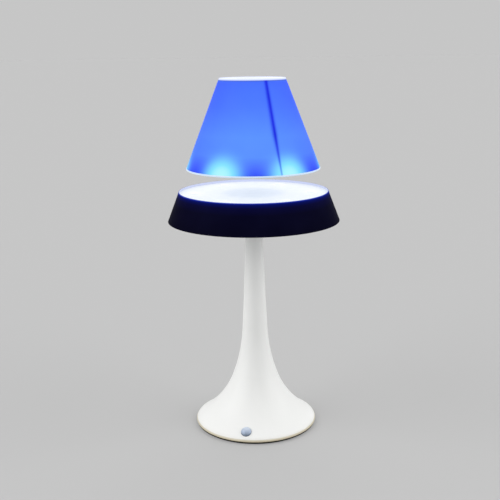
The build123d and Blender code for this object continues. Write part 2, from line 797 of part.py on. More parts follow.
# Top plate, white, with six light holes and four screw bosses below
lens_radius = 6.0
plate_screw_pilot = 10.0
top_plate_radius = min(lower_shade_radius(top_plate_top), lower_shade_radius(top_plate_bottom))
with BuildPart() as top_plate:
    with BuildSketch(Plane.XY.offset(top_plate_bottom)):
        Circle(top_plate_radius - lower_shade_wall - seat_gap)
        with PolarLocations(light_pitch_radius, light_count, light_start):
            Circle(lens_radius + part_fit, mode=Mode.SUBTRACT)
    extrude(amount=top_plate_thickness)
    with BuildSketch(Plane.XY.offset(top_plate_bottom)):
        with PolarLocations(plate_boss_pitch_radius, plate_boss_count, plate_boss_start):
            Circle(plate_boss_radius)
    extrude(amount=-(top_plate_bottom - floor_top - seat_gap))
    with BuildSketch(Plane.XY.offset(floor_top + seat_gap)):
        with PolarLocations(plate_boss_pitch_radius, plate_boss_count, plate_boss_start):
            RegularPolygon(screw_radius + running_fit, hex_sides)
    extrude(amount=plate_screw_pilot, mode=Mode.SUBTRACT)
save(top_plate, "top_plate")

# Head screws, from under the housing into the top plate's bosses
head_screw = hex_screw(screw_radius, floor_thickness + plate_screw_pilot * 0.8, screw_head_radius,
                       screw_head_height)
with BuildPart() as head_screws:
    with Locations(Plane(origin=(0, 0, head_bottom), x_dir=(1, 0, 0), z_dir=(0, 0, -1))):
        with PolarLocations(plate_boss_pitch_radius, plate_boss_count, plate_boss_start):
            add(head_screw)
save(head_screws, "head_screws")

# Ring magnet and its clamp with four posts
magnet_height = 14.0
magnet_top = chassis_top + magnet_height
clamp_thickness = 1.5
clamp_lap = 1.0
with BuildPart() as ring_magnet:
    with BuildSketch(Plane.XY.offset(chassis_top)):
        Circle(magnet_outer_radius)
        Circle(magnet_inner_radius, mode=Mode.SUBTRACT)
    extrude(amount=magnet_height)
save(ring_magnet, "ring_magnet")
with BuildPart() as magnet_clamp:
    with BuildSketch(Plane.XY.offset(magnet_top)):
        Circle(magnet_outer_radius + clamp_lap)
        with PolarLocations(clamp_post_pitch_radius, coil_count, coil_start):
            Circle(clamp_post_radius)
        Circle(magnet_inner_radius + clamp_lap, mode=Mode.SUBTRACT)
    extrude(amount=clamp_thickness)
    with BuildSketch(Plane.XY.offset(chassis_top)):
        with PolarLocations(clamp_post_pitch_radius, coil_count, coil_start):
            Circle(clamp_post_radius)
        Circle(magnet_outer_radius + part_fit, mode=Mode.SUBTRACT)
    extrude(amount=magnet_height)
    with BuildSketch(Plane.XY.offset(chassis_top)):
        with PolarLocations(clamp_post_pitch_radius, coil_count, coil_start):
            RegularPolygon(screw_radius + running_fit, hex_sides)
    extrude(amount=magnet_height / 2, mode=Mode.SUBTRACT)
save(magnet_clamp, "magnet_clamp")

# Chassis screws: four hold the clamp's posts, four hold the coil cores
under_screw_length = chassis_thickness + magnet_height * 0.4
under_screw = hex_screw(screw_radius, under_screw_length, screw_head_radius, screw_head_height)
under_plane = Plane(origin=(0, 0, floor_top), x_dir=(1, 0, 0), z_dir=(0, 0, -1))
with BuildPart() as clamp_screws:
    with Locations(under_plane):
        with PolarLocations(clamp_post_pitch_radius, coil_count, coil_start):
            add(under_screw)
save(clamp_screws, "clamp_screws")

# Coil board on its spacers
spacer_height = 1.5
spacer_radius = 3.6
coil_board_bottom = chassis_top + spacer_height
coil_board_top = coil_board_bottom + board_thickness
coil_board_gap = 1.0
coil_board_radius = magnet_inner_radius - coil_board_gap
with BuildPart() as coil_spacers:
    with BuildSketch(Plane.XY.offset(chassis_top)):
        with PolarLocations(coil_pitch_radius, coil_count, coil_start):
            Circle(spacer_radius)
            RegularPolygon(screw_radius + screw_fit, hex_sides, mode=Mode.SUBTRACT)
    extrude(amount=spacer_height)
save(coil_spacers, "coil_spacers")
with BuildPart() as coil_board:
    with BuildSketch(Plane.XY.offset(coil_board_bottom)):
        Circle(coil_board_radius)
        Circle(washer_radius + coil_board_gap, mode=Mode.SUBTRACT)
        with PolarLocations(coil_pitch_radius, coil_count, coil_start):
            RegularPolygon(screw_radius + screw_fit, hex_sides, mode=Mode.SUBTRACT)
    extrude(amount=board_thickness)
save(coil_board, "coil_board")

# Four coils: iron core, bobbin and winding
core_radius = 5.0
bobbin_wall = 1.0
bobbin_sides = 12
sensor_board_thickness = 1.2
sensor_headroom = 2.2
winding_margin = 0.8
core_pilot = 8.0
sensor_pilot = 4.0
bobbin_top = top_plate_bottom - sensor_headroom - small_screw_head_height - sensor_board_thickness
bobbin_height = bobbin_top - coil_board_top
with BuildPart() as coil_cores:
    with BuildSketch(Plane.XY.offset(coil_board_top)):
        with PolarLocations(coil_pitch_radius, coil_count, coil_start):
            Circle(core_radius)
    extrude(amount=bobbin_height)
    with BuildSketch(Plane.XY.offset(coil_board_top)):
        with PolarLocations(coil_pitch_radius, coil_count, coil_start):
            RegularPolygon(screw_radius + running_fit, hex_sides)
    extrude(amount=core_pilot, mode=Mode.SUBTRACT)
    with BuildSketch(Plane.XY.offset(bobbin_top)):
        with PolarLocations(coil_pitch_radius, coil_count, coil_start):
            RegularPolygon(small_screw_radius + running_fit, hex_sides)
    extrude(amount=-sensor_pilot, mode=Mode.SUBTRACT)
save(coil_cores, "coil_cores")
with BuildPart() as coil_bobbins:
    for flange_bottom in (coil_board_top, bobbin_top - bobbin_wall):
        with BuildSketch(Plane.XY.offset(flange_bottom)):
            with PolarLocations(coil_pitch_radius, coil_count, coil_start):
                RegularPolygon(bobbin_flange_radius, bobbin_sides)
        extrude(amount=bobbin_wall)
    with BuildSketch(Plane.XY.offset(coil_board_top)):
        with PolarLocations(coil_pitch_radius, coil_count, coil_start):
            Circle(core_radius + running_fit + bobbin_wall)
    extrude(amount=bobbin_height)
    with BuildSketch(Plane.XY.offset(coil_board_top)):
        with PolarLocations(coil_pitch_radius, coil_count, coil_start):
            Circle(core_radius + running_fit)
    extrude(amount=bobbin_height, mode=Mode.SUBTRACT)
save(coil_bobbins, "coil_bobbins")
with BuildPart() as coil_windings:
    with BuildSketch(Plane.XY.offset(coil_board_top + bobbin_wall)):
        with PolarLocations(coil_pitch_radius, coil_count, coil_start):
            Circle(bobbin_flange_radius - winding_margin)
            Circle(core_radius + 2 * running_fit + bobbin_wall, mode=Mode.SUBTRACT)
    extrude(amount=bobbin_height - 2 * bobbin_wall)
save(coil_windings, "coil_windings")
coil_screw_length = chassis_thickness + spacer_height + board_thickness + core_pilot * 0.8
coil_screw = hex_screw(screw_radius, coil_screw_length, screw_head_radius, screw_head_height)
with BuildPart() as coil_screws:
    with Locations(under_plane):
        with PolarLocations(coil_pitch_radius, coil_count, coil_start):
            add(coil_screw)
save(coil_screws, "coil_screws")

# Sensor board across the coils, with three field sensors under it and four screws
sensor_board_margin = 4.0
sensor_board_radius = coil_pitch_radius + sensor_board_margin
sensor_pitch_radius = 5.0
sensor_count = 3
sensor_width = 4.0
sensor_depth = 1.6
sensor_height = 3.0
sensor_board_top = bobbin_top + sensor_board_thickness
with BuildPart() as sensor_board:
    with BuildSketch(Plane.XY.offset(bobbin_top)):
        Circle(sensor_board_radius)
        with PolarLocations(coil_pitch_radius, coil_count, coil_start):
            RegularPolygon(small_screw_radius + screw_fit, hex_sides, mode=Mode.SUBTRACT)
    extrude(amount=sensor_board_thickness)
save(sensor_board, "sensor_board")
with BuildPart() as hall_sensors:
    with BuildSketch(Plane.XY.offset(bobbin_top)):
        with PolarLocations(sensor_pitch_radius, sensor_count, coil_start):
            Rectangle(sensor_depth, sensor_width)
    extrude(amount=-sensor_height)
save(hall_sensors, "hall_sensors")
sensor_screw = hex_screw(small_screw_radius, sensor_board_thickness + sensor_pilot * 0.8,
                         small_screw_head_radius, small_screw_head_height)
with BuildPart() as sensor_screws:
    with Locations(Plane.XY.offset(sensor_board_top)):
        with PolarLocations(coil_pitch_radius, coil_count, coil_start):
            add(sensor_screw)
save(sensor_screws, "sensor_screws")

# Light board on the housing's posts, its screws, lights and lenses
light_board_top = light_board_bottom + board_thickness
light_size = 5.0
light_height = 1.6
light_screw_length = board_thickness + light_post_radius * 1.6
lens_flange_radius = 7.4
lens_flange_height = 1.4
lens_crown = 1.0
lens_bevel = 2.2
lens_bottom = top_plate_bottom - lens_flange_height
with BuildPart() as light_board:
    with BuildSketch(Plane.XY.offset(light_board_bottom)):
        Circle(light_board_outer)
        Circle(light_board_outer - light_board_width, mode=Mode.SUBTRACT)
        with PolarLocations(light_pitch_radius, light_count, light_post_start):
            RegularPolygon(small_screw_radius + screw_fit, hex_sides, mode=Mode.SUBTRACT)
    extrude(amount=board_thickness)
save(light_board, "light_board")
light_screw = hex_screw(small_screw_radius, light_screw_length, small_screw_head_radius,
                        small_screw_head_height)
with BuildPart() as light_screws:
    with Locations(Plane.XY.offset(light_board_top)):
        with PolarLocations(light_pitch_radius, light_count, light_post_start):
            add(light_screw)
save(light_screws, "light_screws")
with BuildPart() as lights:
    with BuildSketch(Plane.XY.offset(light_board_top)):
        with PolarLocations(light_pitch_radius, light_count, light_start):
            Rectangle(light_size, light_size)
    extrude(amount=light_height)
save(lights, "lights")
with BuildPart() as lens:
    with BuildSketch(Plane.XZ):
        with BuildLine():
            Polyline(
                (0, top_plate_top + lens_crown),
                (0, lens_bottom),
                (lens_flange_radius, lens_bottom),
                (lens_flange_radius, top_plate_bottom),
                (lens_radius, top_plate_bottom),
                (lens_radius, top_plate_top),
                (lens_radius - lens_bevel, top_plate_top + lens_crown),
                close=True,
            )
        make_face()
    revolve(axis=Axis.Z)
with BuildPart() as light_lenses:
    with PolarLocations(light_pitch_radius, light_count, light_start):
        add(lens.part)
save(light_lenses, "light_lenses")

# Down lights under the same board, and clear guides that take their light through the floor
guide_flange_radius = 5.4
guide_flange_height = 1.4
guide_crown = 1.0
guide_bevel = 1.4
guide_top = light_board_bottom - light_height - seat_gap
with BuildPart() as down_lights:
    with BuildSketch(Plane.XY.offset(light_board_bottom)):
        with PolarLocations(light_pitch_radius, light_count, light_start):
            Rectangle(light_size, light_size)
    extrude(amount=-light_height)
save(down_lights, "down_lights")
with BuildPart() as guide:
    with BuildSketch(Plane.XZ):
        with BuildLine():
            Polyline(
                (0, guide_top),
                (0, head_bottom - guide_crown),
                (guide_radius - guide_bevel, head_bottom - guide_crown),
                (guide_radius, head_bottom),
                (guide_radius, floor_top),
                (guide_flange_radius, floor_top),
                (guide_flange_radius, floor_top + guide_flange_height),
                (guide_radius, floor_top + guide_flange_height),
                (guide_radius, guide_top),
                close=True,
            )
        make_face()
    revolve(axis=Axis.Z)
with BuildPart() as down_light_guides:
    with PolarLocations(light_pitch_radius, light_count, light_start):
        add(guide.part)
save(down_light_guides, "down_light_guides")

# Plugs on the coil board and the light board, for the cable and the light lead
coil_plug_edge = 2.5
coil_plug_depth = 6.0
coil_plug_inner = coil_board_radius - coil_plug_edge - coil_plug_depth
coil_plug_width = 6.0
coil_plug_height = 5.0
light_plug_depth = 4.0
light_plug_inner = light_board_outer - light_board_width
light_plug_height = 3.0
with BuildPart() as coil_plugs:
    with BuildSketch(Plane.XY.offset(coil_board_top)):
        with Locations((0, coil_plug_inner + coil_plug_depth / 2)):
            Rectangle(coil_plug_width, coil_plug_depth)
        with Locations((coil_plug_inner + coil_plug_depth / 2, 0)):
            Rectangle(coil_plug_depth, coil_plug_width)
    extrude(amount=coil_plug_height)
save(coil_plugs, "coil_plugs")
with BuildPart() as light_plug:
    with BuildSketch(Plane.XY.offset(light_board_top)):
        with Locations((light_plug_inner + light_plug_depth / 2, 0)):
            Rectangle(light_plug_depth, coil_plug_width)
    extrude(amount=light_plug_height)
save(light_plug, "light_plug")

# Stem cable, from the driver board up the pipe and over to the coil board
cable_points = [
    (0, cable_plug_y, driver_top + connector_height),
    (0, cable_plug_y, 30.0),
    (0, 0, 47.0),
    (0, 0, pipe_top + 7.6),
    (0, 15.5, pipe_top + 6.2),
    (0, 21.5, coil_board_top + coil_plug_height / 2),
    (0, coil_plug_inner, coil_board_top + coil_plug_height / 2),
]
cable_radii = bend_radii(cable_points)
cable_radii[1] = 14.0
cable_radii[2] = 7.2
with BuildPart() as stem_cable:
    add(lead_along("stem_cable", cable_points, cable_radius, cable_radii))
save(stem_cable, "stem_cable")

# Light lead, from the coil board over the magnet to the light board
light_lead_height = light_board_top + light_plug_height / 2
light_lead_points = [
    (coil_plug_inner + coil_plug_depth / 2, 0, coil_board_top + coil_plug_height),
    (coil_plug_inner + coil_plug_depth / 2, 0, light_lead_height - 0.3),
    (light_plug_inner, 0, light_lead_height),
]
with BuildPart() as light_lead:
    add(lead_along("light_lead", light_lead_points, thin_lead_radius))
save(light_lead, "light_lead")

# Float magnet with its steel keeper, which hangs over the coils
magnet_disc_radius = 19.0
magnet_disc_height = 8.0
keeper_height = 2.0
hub_floor = 1.0
hub_wall = 2.2
hub_drop = 7.9
hub_bottom = hoop_bottom - hub_drop
hub_inner_radius = magnet_disc_radius + float_clearance
hub_outer_radius = hub_inner_radius + hub_wall
float_magnet_bottom = hub_bottom + hub_floor + float_clearance
float_magnet_top = float_magnet_bottom + magnet_disc_height
keeper_top = float_magnet_top + keeper_height
hub_top = keeper_top + float_clearance
with BuildPart() as float_magnet:
    with BuildSketch(Plane.XY.offset(float_magnet_bottom)):
        Circle(magnet_disc_radius)
    extrude(amount=magnet_disc_height)
save(float_magnet, "float_magnet")
with BuildPart() as magnet_keeper:
    with BuildSketch(Plane.XY.offset(float_magnet_top)):
        Circle(magnet_disc_radius)
    extrude(amount=keeper_height)
save(magnet_keeper, "magnet_keeper")

# Bottom hoop, a white ring with an upright flange that the film is glued round
flange_top = upper_shade_bottom + hoop_flange_height
flange_outer_radius = upper_shade_radius(flange_top) - upper_shade_wall - liner_wall - 2 * glue_gap - part_fit
flange_inner_radius = flange_outer_radius - hoop_flange_wall
with BuildPart() as bottom_hoop:
    with BuildSketch(Plane.XZ):
        with BuildLine():
            Polyline(
                (flange_inner_radius, hoop_bottom),
                (upper_shade_bottom_radius + hoop_proud, hoop_bottom),
                (upper_shade_bottom_radius + hoop_proud, upper_shade_bottom),
                (flange_outer_radius, upper_shade_bottom),
                (flange_outer_radius, flange_top),
                (flange_inner_radius, flange_top),
                close=True,
            )
        make_face()
    revolve(axis=Axis.Z)
    outer_edges = bottom_hoop.edges().filter_by(GeomType.CIRCLE).sort_by(SortBy.RADIUS)[-2:]
    chamfer(outer_edges, hoop_proud * 0.8)
save(bottom_hoop, "bottom_hoop")

# Spider: a hub cup for the magnet and four tapered spokes out to the hoop
spoke_count = 4
spoke_height = 2.6
spoke_root_width = 9.0
spoke_tip_width = 5.0
cap_height = 2.0
lug_radius = 2.8
lug_height = 6.0
lug_start = 45
lug_pitch_radius = hub_outer_radius + lug_radius / 3
with BuildPart() as shade_spider:
    with BuildSketch(Plane.XY.offset(hub_top - spoke_height)):
        with BuildLine():
            Polyline(
                (hub_inner_radius, -spoke_root_width / 2),
                (flange_outer_radius, -spoke_tip_width / 2),
                (flange_outer_radius, spoke_tip_width / 2),
                (hub_inner_radius, spoke_root_width / 2),
                close=True,
            )
        spoke_face = make_face(mode=Mode.PRIVATE)
        with PolarLocations(0, spoke_count):
            add(spoke_face)
        Circle(flange_inner_radius - glue_gap, mode=Mode.INTERSECT)
    extrude(amount=spoke_height)
    with BuildSketch(Plane.XY.offset(hub_bottom)):
        Circle(hub_outer_radius)
    extrude(amount=hub_top - hub_bottom)
    with BuildSketch(Plane.XY.offset(hub_top - lug_height)):
        with PolarLocations(lug_pitch_radius, spoke_count, lug_start):
            Circle(lug_radius)
    extrude(amount=lug_height)
    with BuildSketch(Plane.XY.offset(hub_bottom + hub_floor)):
        Circle(hub_inner_radius)
    extrude(amount=hub_top - hub_bottom, mode=Mode.SUBTRACT)
    with BuildSketch(Plane.XY.offset(hub_top)):
        with PolarLocations(lug_pitch_radius, spoke_count, lug_start):
            RegularPolygon(small_screw_radius + running_fit, hex_sides)
    extrude(amount=-lug_height, mode=Mode.SUBTRACT)
    chamfer(shade_spider.edges().group_by(Axis.Z)[0], hub_floor * 0.6)
save(shade_spider, "shade_spider")
with BuildPart() as hub_cap:
    with BuildSketch(Plane.XY.offset(hub_top)):
        Circle(hub_outer_radius)
        with PolarLocations(lug_pitch_radius, spoke_count, lug_start):
            Circle(lug_radius)
            RegularPolygon(small_screw_radius + screw_fit, hex_sides, mode=Mode.SUBTRACT)
    extrude(amount=cap_height)
save(hub_cap, "hub_cap")
cap_screw = hex_screw(small_screw_radius, cap_height + lug_height * 0.7, small_screw_head_radius,
                      small_screw_head_height)
with BuildPart() as cap_screws:
    with Locations(Plane.XY.offset(hub_top + cap_height)):
        with PolarLocations(lug_pitch_radius, spoke_count, lug_start):
            add(cap_screw)
save(cap_screws, "cap_screws")

# Upper shade, blue film with a lapped seam
seam_plane = Plane(
    origin=(0, 0, 0),
    x_dir=(cos(radians(seam_angle - seam_sweep / 2)), sin(radians(seam_angle - seam_sweep / 2)), 0),
    z_dir=(sin(radians(seam_angle - seam_sweep / 2)), -cos(radians(seam_angle - seam_sweep / 2)), 0),
)
with BuildPart() as upper_shade:
    film_section = band_section(Plane.XZ, upper_shade_bottom, upper_shade_bottom_radius, upper_shade_top,
                                upper_shade_top_radius, upper_shade_wall)
    revolve(film_section, axis=Axis.Z)
    lap_section = band_section(seam_plane, upper_shade_bottom, upper_shade_bottom_radius + seam_lap,
                               upper_shade_top, upper_shade_top_radius + seam_lap,
                               seam_lap + upper_shade_wall / 2)
    revolve(lap_section, axis=Axis.Z, revolution_arc=seam_sweep)
save(upper_shade, "upper_shade")

# White liner inside the film, and the top hoop that keeps the mouth round
liner_offset = upper_shade_wall + glue_gap
with BuildPart() as shade_liner:
    liner_section = band_section(Plane.XZ, upper_shade_bottom, upper_shade_bottom_radius - liner_offset,
                                 upper_shade_top - top_hoop_drop,
                                 upper_shade_radius(upper_shade_top - top_hoop_drop) - liner_offset,
                                 liner_wall)
    revolve(liner_section, axis=Axis.Z)
save(shade_liner, "shade_liner")
top_hoop_top = upper_shade_top - top_hoop_drop
top_hoop_bottom = top_hoop_top - top_hoop_height
top_hoop_offset = liner_offset + liner_wall + glue_gap
with BuildPart() as top_hoop:
    top_hoop_section = band_section(Plane.XZ, top_hoop_bottom,
                                    upper_shade_radius(top_hoop_bottom) - top_hoop_offset,
                                    top_hoop_top, upper_shade_radius(top_hoop_top) - top_hoop_offset,
                                    top_hoop_wall)
    revolve(top_hoop_section, axis=Axis.Z)
save(top_hoop, "top_hoop")

print("button", round(button_radius, 3), round(button_height, 3), "lean", round(button_lean, 3))
print("top", round(upper_shade_top, 2), "lower shade top", round(lower_shade_top, 2),
      "hub bottom", round(hub_bottom, 2), "lens top", round(top_plate_top + lens_crown, 2))
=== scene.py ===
from math import cos, pi, radians, sin, sqrt

import bmesh
import bpy
from mathutils import Matrix, Vector


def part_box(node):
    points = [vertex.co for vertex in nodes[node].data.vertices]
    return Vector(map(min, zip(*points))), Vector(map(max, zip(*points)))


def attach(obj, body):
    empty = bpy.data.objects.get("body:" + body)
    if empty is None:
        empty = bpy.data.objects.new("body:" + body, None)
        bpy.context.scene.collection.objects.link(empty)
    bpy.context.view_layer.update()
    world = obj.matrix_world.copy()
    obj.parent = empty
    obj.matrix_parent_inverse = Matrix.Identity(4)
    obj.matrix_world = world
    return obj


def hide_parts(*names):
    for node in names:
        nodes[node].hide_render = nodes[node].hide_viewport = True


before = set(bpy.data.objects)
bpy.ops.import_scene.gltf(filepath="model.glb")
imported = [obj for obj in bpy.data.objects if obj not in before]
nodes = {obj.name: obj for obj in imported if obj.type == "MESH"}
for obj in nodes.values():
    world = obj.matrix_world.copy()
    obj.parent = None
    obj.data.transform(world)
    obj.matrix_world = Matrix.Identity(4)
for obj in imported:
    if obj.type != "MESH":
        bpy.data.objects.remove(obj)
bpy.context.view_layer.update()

# Foot ring: black rubber, moulded with rounded edges and pressed into the groove under
# the base plate, so that the lamp neither slides nor scratches the table.


def set_shader(finish, socket, value):
    """Set a plain value on the shader's own socket."""
    finish.node_tree.nodes["Principled BSDF"].inputs[socket].default_value = value


def start_finish(name, colour, roughness, metallic=0.0):
    """A finish of one colour, which its section then adds grain and relief to."""
    finish = bpy.data.materials.new(name)
    finish.use_nodes = True
    set_shader(finish, "Base Color", (*colour, 1.0))
    set_shader(finish, "Roughness", roughness)
    set_shader(finish, "Metallic", metallic)
    return finish


def add_node(finish, kind, *wires, **settings):
    """A node of a finish, with its inputs wired to others or set to plain values."""
    tree = finish.node_tree
    node = tree.nodes.new(kind)
    for name, value in settings.items():
        setattr(node, name, value)
    for socket, source in wires:
        if isinstance(source, bpy.types.NodeSocket):
            tree.links.new(source, node.inputs[socket])
        else:
            node.inputs[socket].default_value = source
    return node


def wire_shader(finish, socket, source):
    """Wire a value from the nodes to the shader."""
    shader = finish.node_tree.nodes["Principled BSDF"]
    finish.node_tree.links.new(source, shader.inputs[socket])


def place_on_piece(finish):
    """Where a point lies on the piece, in metres, along the lamp's own axes."""
    return add_node(finish, "ShaderNodeTexCoord").outputs["Object"]


def grain(finish, size, detail=3.0, stretch=(1.0, 1.0, 1.0)):
    """Cloudy grain of about one size in metres, from 0 to 1."""
    stretched = add_node(
        finish,
        "ShaderNodeMapping",
        ("Vector", place_on_piece(finish)),
        ("Scale", stretch),
    )
    cloud = add_node(
        finish,
        "ShaderNodeTexNoise",
        ("Vector", stretched.outputs["Vector"]),
        ("Scale", 1.0 / size),
        ("Detail", detail),
    )
    return cloud.outputs["Fac"]


def tone_between(finish, factor, low_colour, high_colour, low=0.35, high=0.65):
    """Colour that runs from one tone to another along a factor."""
    ramp = add_node(finish, "ShaderNodeValToRGB", ("Fac", factor))
    ramp.color_ramp.elements[0].position = low
    ramp.color_ramp.elements[0].color = (*low_colour, 1.0)
    ramp.color_ramp.elements[1].position = high
    ramp.color_ramp.elements[1].color = (*high_colour, 1.0)
    wire_shader(finish, "Base Color", ramp.outputs["Color"])


def span(finish, value, start, end, low=0.0, high=1.0):
    """A value taken from one range to another and held at its ends."""
    mapped = add_node(
        finish,
        "ShaderNodeMapRange",
        ("Value", value),
        ("From Min", start),
        ("From Max", end),
        ("To Min", low),
        ("To Max", high),
    )
    return mapped.outputs["Result"]


def gloss_between(finish, factor, low_roughness, high_roughness):
    """Roughness that runs from one value to another along a factor."""
    wire_shader(finish, "Roughness", span(finish, factor, 0.3, 0.7, low_roughness, high_roughness))


def raise_relief(finish, height, depth):
    """Small relief of a real depth in metres."""
    bump = add_node(
        finish,
        "ShaderNodeBump",
        ("Height", height),
        ("Distance", depth),
        ("Strength", 1.0),
    )
    wire_shader(finish, "Normal", bump.outputs["Normal"])


def moulded(name, colour, drift=0.9, roughness=0.45, grain_size=0.0005, depth=0.00001):
    """Moulded plastic or rubber: fine spark-eroded grain and a slight drift of tone."""
    finish = start_finish(name, colour, roughness)
    cloud = grain(finish, size=0.03, detail=2.0)
    tone_between(finish, cloud, [part * drift for part in colour], colour)
    fine = grain(finish, grain_size)
    gloss_between(finish, fine, roughness * 0.88, min(1.0, roughness * 1.12))
    raise_relief(finish, fine, depth)
    return finish


def dress(finish, *names):
    """Give a finish to pieces that keep their own solid."""
    for name in names:
        for slot in nodes[name].material_slots:
            slot.material = finish


def round_off(piece):
    """Smooth shading, with an edge kept crisp where its faces turn sharply."""
    crease = radians(35)
    weld_distance = 1e-7
    shape = bmesh.new()
    shape.from_mesh(piece.data)
    bmesh.ops.remove_doubles(shape, verts=shape.verts, dist=weld_distance)
    bmesh.ops.recalc_face_normals(shape, faces=shape.faces)
    for edge in shape.edges:
        edge.smooth = len(edge.link_faces) == 2 and edge.calc_face_angle(pi) < crease
    for face in shape.faces:
        face.smooth = True
    shape.to_mesh(piece.data)
    shape.free()


def piece_from(name, shape):
    """A piece in the scene made from a mesh in the making."""
    mesh = bpy.data.meshes.new(name)
    shape.to_mesh(mesh)
    shape.free()
    piece = bpy.data.objects.new(name, mesh)
    bpy.context.scene.collection.objects.link(piece)
    round_off(piece)
    return piece


def turn_outline(shape, outline, sides, centre=(0, 0, 0), closed=False):
    """Turn an outline of (radius, height) about an upright axis through a centre."""
    rings = []
    for radius, height in outline:
        points = sides if radius else 1
        turns = [2 * pi * k / sides for k in range(points)]
        spots = [Vector((radius * cos(turn), radius * sin(turn), height)) for turn in turns]
        rings.append([shape.verts.new(Vector(centre) + spot) for spot in spots])
    pairs = list(zip(rings, rings[1:]))
    if closed:
        pairs.append((rings[-1], rings[0]))
    for lower, upper in pairs:
        for k in range(sides):
            corners = [
                lower[k % len(lower)],
                lower[(k + 1) % len(lower)],
                upper[(k + 1) % len(upper)],
                upper[k % len(upper)],
            ]
            shape.faces.new(list(dict.fromkeys(corners)))


def quarter_round(radius, height, size, start, steps=4):
    """A rounded corner of an outline about (radius, height), from a start angle in degrees."""
    angles = [radians(start + 90 * step / steps) for step in range(steps + 1)]
    return [(radius + size * cos(angle), height + size * sin(angle)) for angle in angles]


def fix(piece, finish, body, slot_name, *replaced):
    """Finish a piece, ride it on its body and let it stand for its solids."""
    piece.data.materials.clear()
    piece.data.materials.append(finish)
    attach(piece, body)
    if replaced:
        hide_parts(*replaced)


foot_rubber = moulded(
    "foot_rubber", (0.010, 0.009, 0.009), drift=0.7, roughness=0.85, grain_size=0.0006, depth=0.00004
)
set_shader(foot_rubber, "Specular IOR Level", 0.05)
ring_low, ring_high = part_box("foot_ring")
ring_width = 0.0085
ring_round = 0.0005
ring_sides = 128
ring_outer = ring_high.x - ring_round
ring_inner = ring_high.x - ring_width + ring_round
ring_upper = ring_high.z - ring_round
ring_lower = ring_low.z + ring_round
ring_outline = quarter_round(ring_outer, ring_upper, ring_round, 0)
ring_outline += quarter_round(ring_inner, ring_upper, ring_round, 90)
ring_outline += quarter_round(ring_inner, ring_lower, ring_round, 180)
ring_outline += quarter_round(ring_outer, ring_lower, ring_round, 270)
ring_shape = bmesh.new()
turn_outline(ring_shape, ring_outline, ring_sides, closed=True)
fix(piece_from("foot_ring_rounded", ring_shape), foot_rubber, "stand", "foot_rubber", "foot_ring")

# Base plate: a disc moulded in black plastic with a fine grain. It closes the trumpet
# from below and carries the foot ring in a groove.

plate_black = moulded(
    "plate_black", (0.014, 0.012, 0.012), drift=0.75, roughness=0.6, grain_size=0.0008, depth=0.00003
)
set_shader(plate_black, "Specular IOR Level", 0.05)
dress(plate_black, "base_plate")

# Base screws: four countersunk cross-head screws of zinc-plated steel, which pull the
# base plate up against the bosses inside the trumpet.


def plated(name, colour, roughness=0.3):
    """Plated or turned metal: cloudy brightness and faint turning marks."""
    finish = start_finish(name, colour, roughness, metallic=1.0)
    tone_between(finish, grain(finish, size=0.004), [part * 0.82 for part in colour], colour)
    marks = grain(finish, size=0.0007, detail=2.0, stretch=(1.0, 1.0, 4.0))
    gloss_between(finish, marks, roughness * 0.8, roughness * 1.3)
    raise_relief(finish, marks, depth=0.000006)
    return finish


screw_steel = plated("screw_steel", (0.60, 0.60, 0.62))
screw_radius = 0.0014
screw_head_radius = 0.0028
screw_head_height = 0.0016
screw_recess = 0.0013
cross_foot_share = 1.1
cross_mouth_share = 2.0
cross_width_share = 0.42
cross_depth_share = 0.7
screw_sides = 28
thread_turns = 9
thread_root = 0.78


def thread_outline(length):
    """Outline of a screw's shank from its tip to its head, with a thread."""
    outline = [
        (0, -length),
        (screw_radius * 0.5, -length),
        (screw_radius * 0.8, -length + screw_radius * 0.8),
    ]
    start = -length + screw_radius * 1.2
    end = -screw_radius * 0.5
    for step in range(2 * thread_turns):
        crest = 1.0 if step % 2 else thread_root
        outline.append((screw_radius * crest, start + (end - start) * step / (2 * thread_turns)))
    return outline + [(screw_radius * 0.9, end), (screw_radius * 0.9, 0)]


def cross_head_screw(name, seat, turn, head, length):
    """A screw that points up, with a turned head and a cross cut into it from below.

    The head's outline is (radius, depth below the seat), from its rim to its crown.
    """
    crown = head[-1][1]
    body = bmesh.new()
    turn_outline(body, thread_outline(length) + head + [(0, crown)], screw_sides)
    cutter = bmesh.new()
    for angle in (0, pi / 2):
        bar = bmesh.ops.create_cube(cutter, size=1.0)["verts"]
        for corner in bar:
            deep = corner.co.z < 0
            corner.co.x *= screw_recess * (cross_foot_share if deep else cross_mouth_share)
            corner.co.y *= screw_recess * cross_width_share
            corner.co.z = crown - screw_recess * cross_depth_share if deep else crown + screw_recess
        bmesh.ops.rotate(cutter, verts=bar, cent=(0, 0, 0), matrix=Matrix.Rotation(angle, 3, "Z"))
    screw = piece_from(name, body)
    cross = piece_from(name + "_cross", cutter)
    cut = screw.modifiers.new("cross", "BOOLEAN")
    cut.operation = "DIFFERENCE"
    cut.solver = "EXACT"
    cut.use_self = True
    cut.object = cross
    bpy.context.view_layer.update()
    finished = screw.evaluated_get(bpy.context.evaluated_depsgraph_get())
    cut_mesh = bpy.data.meshes.new_from_object(finished)
    screw.modifiers.clear()
    screw.data = cut_mesh
    bpy.data.objects.remove(cross)
    round_off(screw)
    head_down = Vector((0, 0, -1)).to_track_quat("Z", "Y").to_matrix().to_4x4()
    screw.data.transform(Matrix.Translation(seat) @ head_down @ Matrix.Rotation(turn, 4, "Z"))
    return screw


def four_round(pitch, height):
    """Four places on a circle about the lamp's axis, between its front, sides and back."""
    turns = [radians(45 + 90 * number) for number in range(4)]
    return [Vector((pitch * cos(turn), pitch * sin(turn), height)) for turn in turns]


